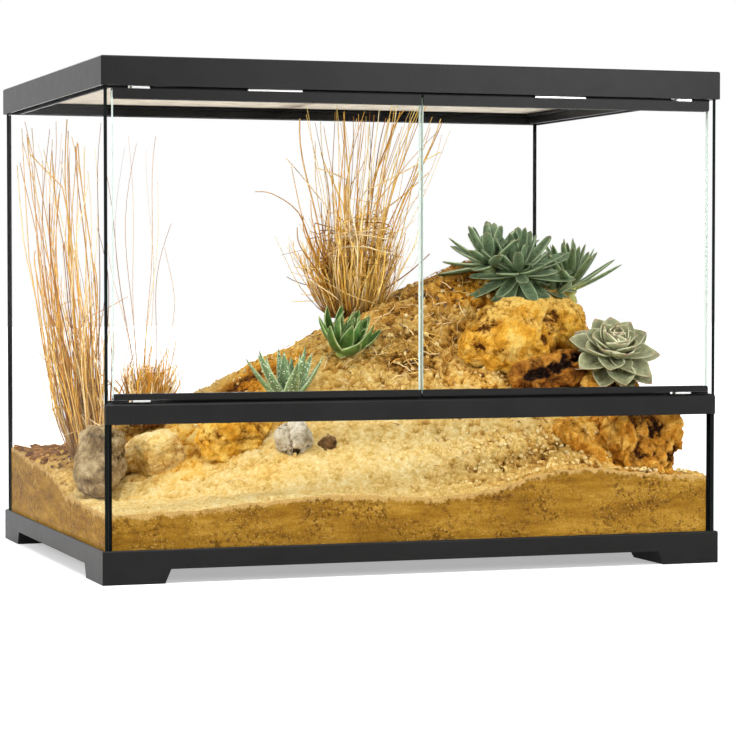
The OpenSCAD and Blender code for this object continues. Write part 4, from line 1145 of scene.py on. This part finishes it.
make_plant(
    "small_blue_leaves", "blue_agave_small", "agave_blue",
    leaf_material("agave_sage", (190, 190, 92), (98, 126, 78), (192, 204, 156), (120, 104, 60),
                  bloom=0.2), 14,
    dict(at=(64, 220, 264), leaves=26, length=62, rises=(90, 14), lean=0, turn=40),
    dict(at=(86, 212, 258), leaves=9, length=32, rises=(80, 10), lean=20, turn=-30),
    width=11, thick=5, curl=10, foot=0.7, widest=0.5, cup=0.4, inner=0.75, blunt=0.45)
make_plant(
    "echeveria_leaves", "echeveria", "echeveria_green",
    leaf_material("echeveria_green", (84, 80, 42), (142, 146, 104), (222, 220, 184), (172, 122, 96),
                  shadow=0.6), 15,
    dict(at=(70, 96, 198), leaves=40, length=50, rises=(84, -26), curl=30, lean=36, turn=-8),
    dict(at=(72, 98, 190), leaves=13, length=42, rises=(-10, -46), curl=24, lean=24, inner=0.8),
    width=30, thick=7, foot=0.42, widest=0.6, cup=0.45, lift=16, inner=0.34, spread=0.8, blunt=0.75,
    trunk=34)

straw = straw_material("straw", (122, 72, 12), (214, 154, 50), (248, 210, 106))
rusty_straw = straw_material("rusty_straw", (110, 60, 8), (200, 136, 36), (232, 182, 74))

centre = Tuft((279, 285, 240), 23, 21)
centre.tall(86, (256, 290, 452), (80, 62), 0.85, wander=9, kink=0.14, shortest=0.5)
centre.thatch(340, 54, 84, 0.95, 0.75, 16)
centre.thatch(280, 44, 108, 0.8, 0.95, 20)
centre.thatch(260, 44, 90, 0.85, 0.9, 22)
centre.thatch(60, 34, 150, 0.7, 1.0, 10)
centre.tangle(64, 41, 40, 98, 0.75)
for out, top, radius, tint in ((56, 100, 1.1, 0.1), (62, 88, 1.2, 0.05), (48, 116, 1.0, 0.12),
                               (66, 74, 0.9, 0.3), (44, 92, 1.2, 0.02), (58, 60, 1.0, 0.2)):
    bend = [(-16, -4, 8), (-0.6 * out, -12, 0.42 * top), (-out, -16, 0.78 * top), (-1.04 * out, -14, top)]
    centre.strand(bend, radius, tint)
for points, radius, tint in (
    ([(-22, 0, 20), (-48, -10, 70), (-64, -14, 104), (-90, -10, 122), (-108, -8, 124)], 1.1, 0.1),
    ([(-20, 0, 14), (-44, -8, 60), (-58, -12, 96), (-70, -12, 150)], 0.9, 0.15),
    ([(-18, 0, 20), (-44, -8, 34), (-70, -12, 42)], 0.6, 0.9),
    ([(-36, -30, 66), (-4, -44, 68), (24, -40, 62), (46, -20, 64)], 1.2, 0.72),
    ([(-40, -26, 74), (-10, -46, 80), (20, -44, 76), (48, -20, 70)], 0.8, 0.75),
    ([(-40, -20, 34), (-16, -44, 18), (10, -46, 10)], 0.7, 0.6),
    ([(20, 0, 20), (40, -8, 60), (72, -12, 118), (104, -10, 190)], 0.6, 0.6),
    ([(10, 0, 20), (50, -6, 90), (84, -8, 150), (96, -6, 186)], 0.5, 0.3),
):
    centre.strand(points, radius, tint)
centre.finish("centre_straw", straw, "tall_grass_centre")

left = Tuft((-43, 223, 100), 17, 22)
left.tall(60, (-33, 350, 426), (36, 96), 0.8, wander=14, bow=0.55, kink=0.06, shortest=0.45)
left.thatch(150, 26, 150, 0.75, 0.8, lean=(-8, 66))
left.thatch(110, 24, 220, 0.7, 0.7, lean=(-14, 110))
left.strand([(-8, 10, 60), (-20, 60, 120), (-27, 104, 150), (-31, 130, 190), (-28, 140, 204)], 1.1, 0.3)
left.finish("left_straw", rusty_straw, "tall_grass_left")

short = Tuft((-97, 236, 134), 13, 23)
short.tall(10, (-104, 240, 430), (60, 46), 0.42, wander=14, bow=1.3, kink=0, shortest=0.4)
short.thatch(420, 18, 62, 1.15, 0.8, 4, lean=(6, 0))
short.thatch(60, 22, 88, 0.7, 0.8, 4, lean=(4, 0))
short.strand([(6, 0, 0), (16, 0, 50), (60, -6, 40), (100, -8, 26)], 0.35, 0.9)
short.finish("short_straw", rusty_straw, "short_grass")

make_straw_litter(straw, [
    (235, 210, 48, 50, 220, 26), (300, 180, 35, 30, 34, 22), (165, 280, 50, 30, 60, 24),
    (80, 205, 24, 16, 60, 26), (-70, 240, 40, 70, 40, 24), (250, 370, 100, 40, 60, 26),
], 31)
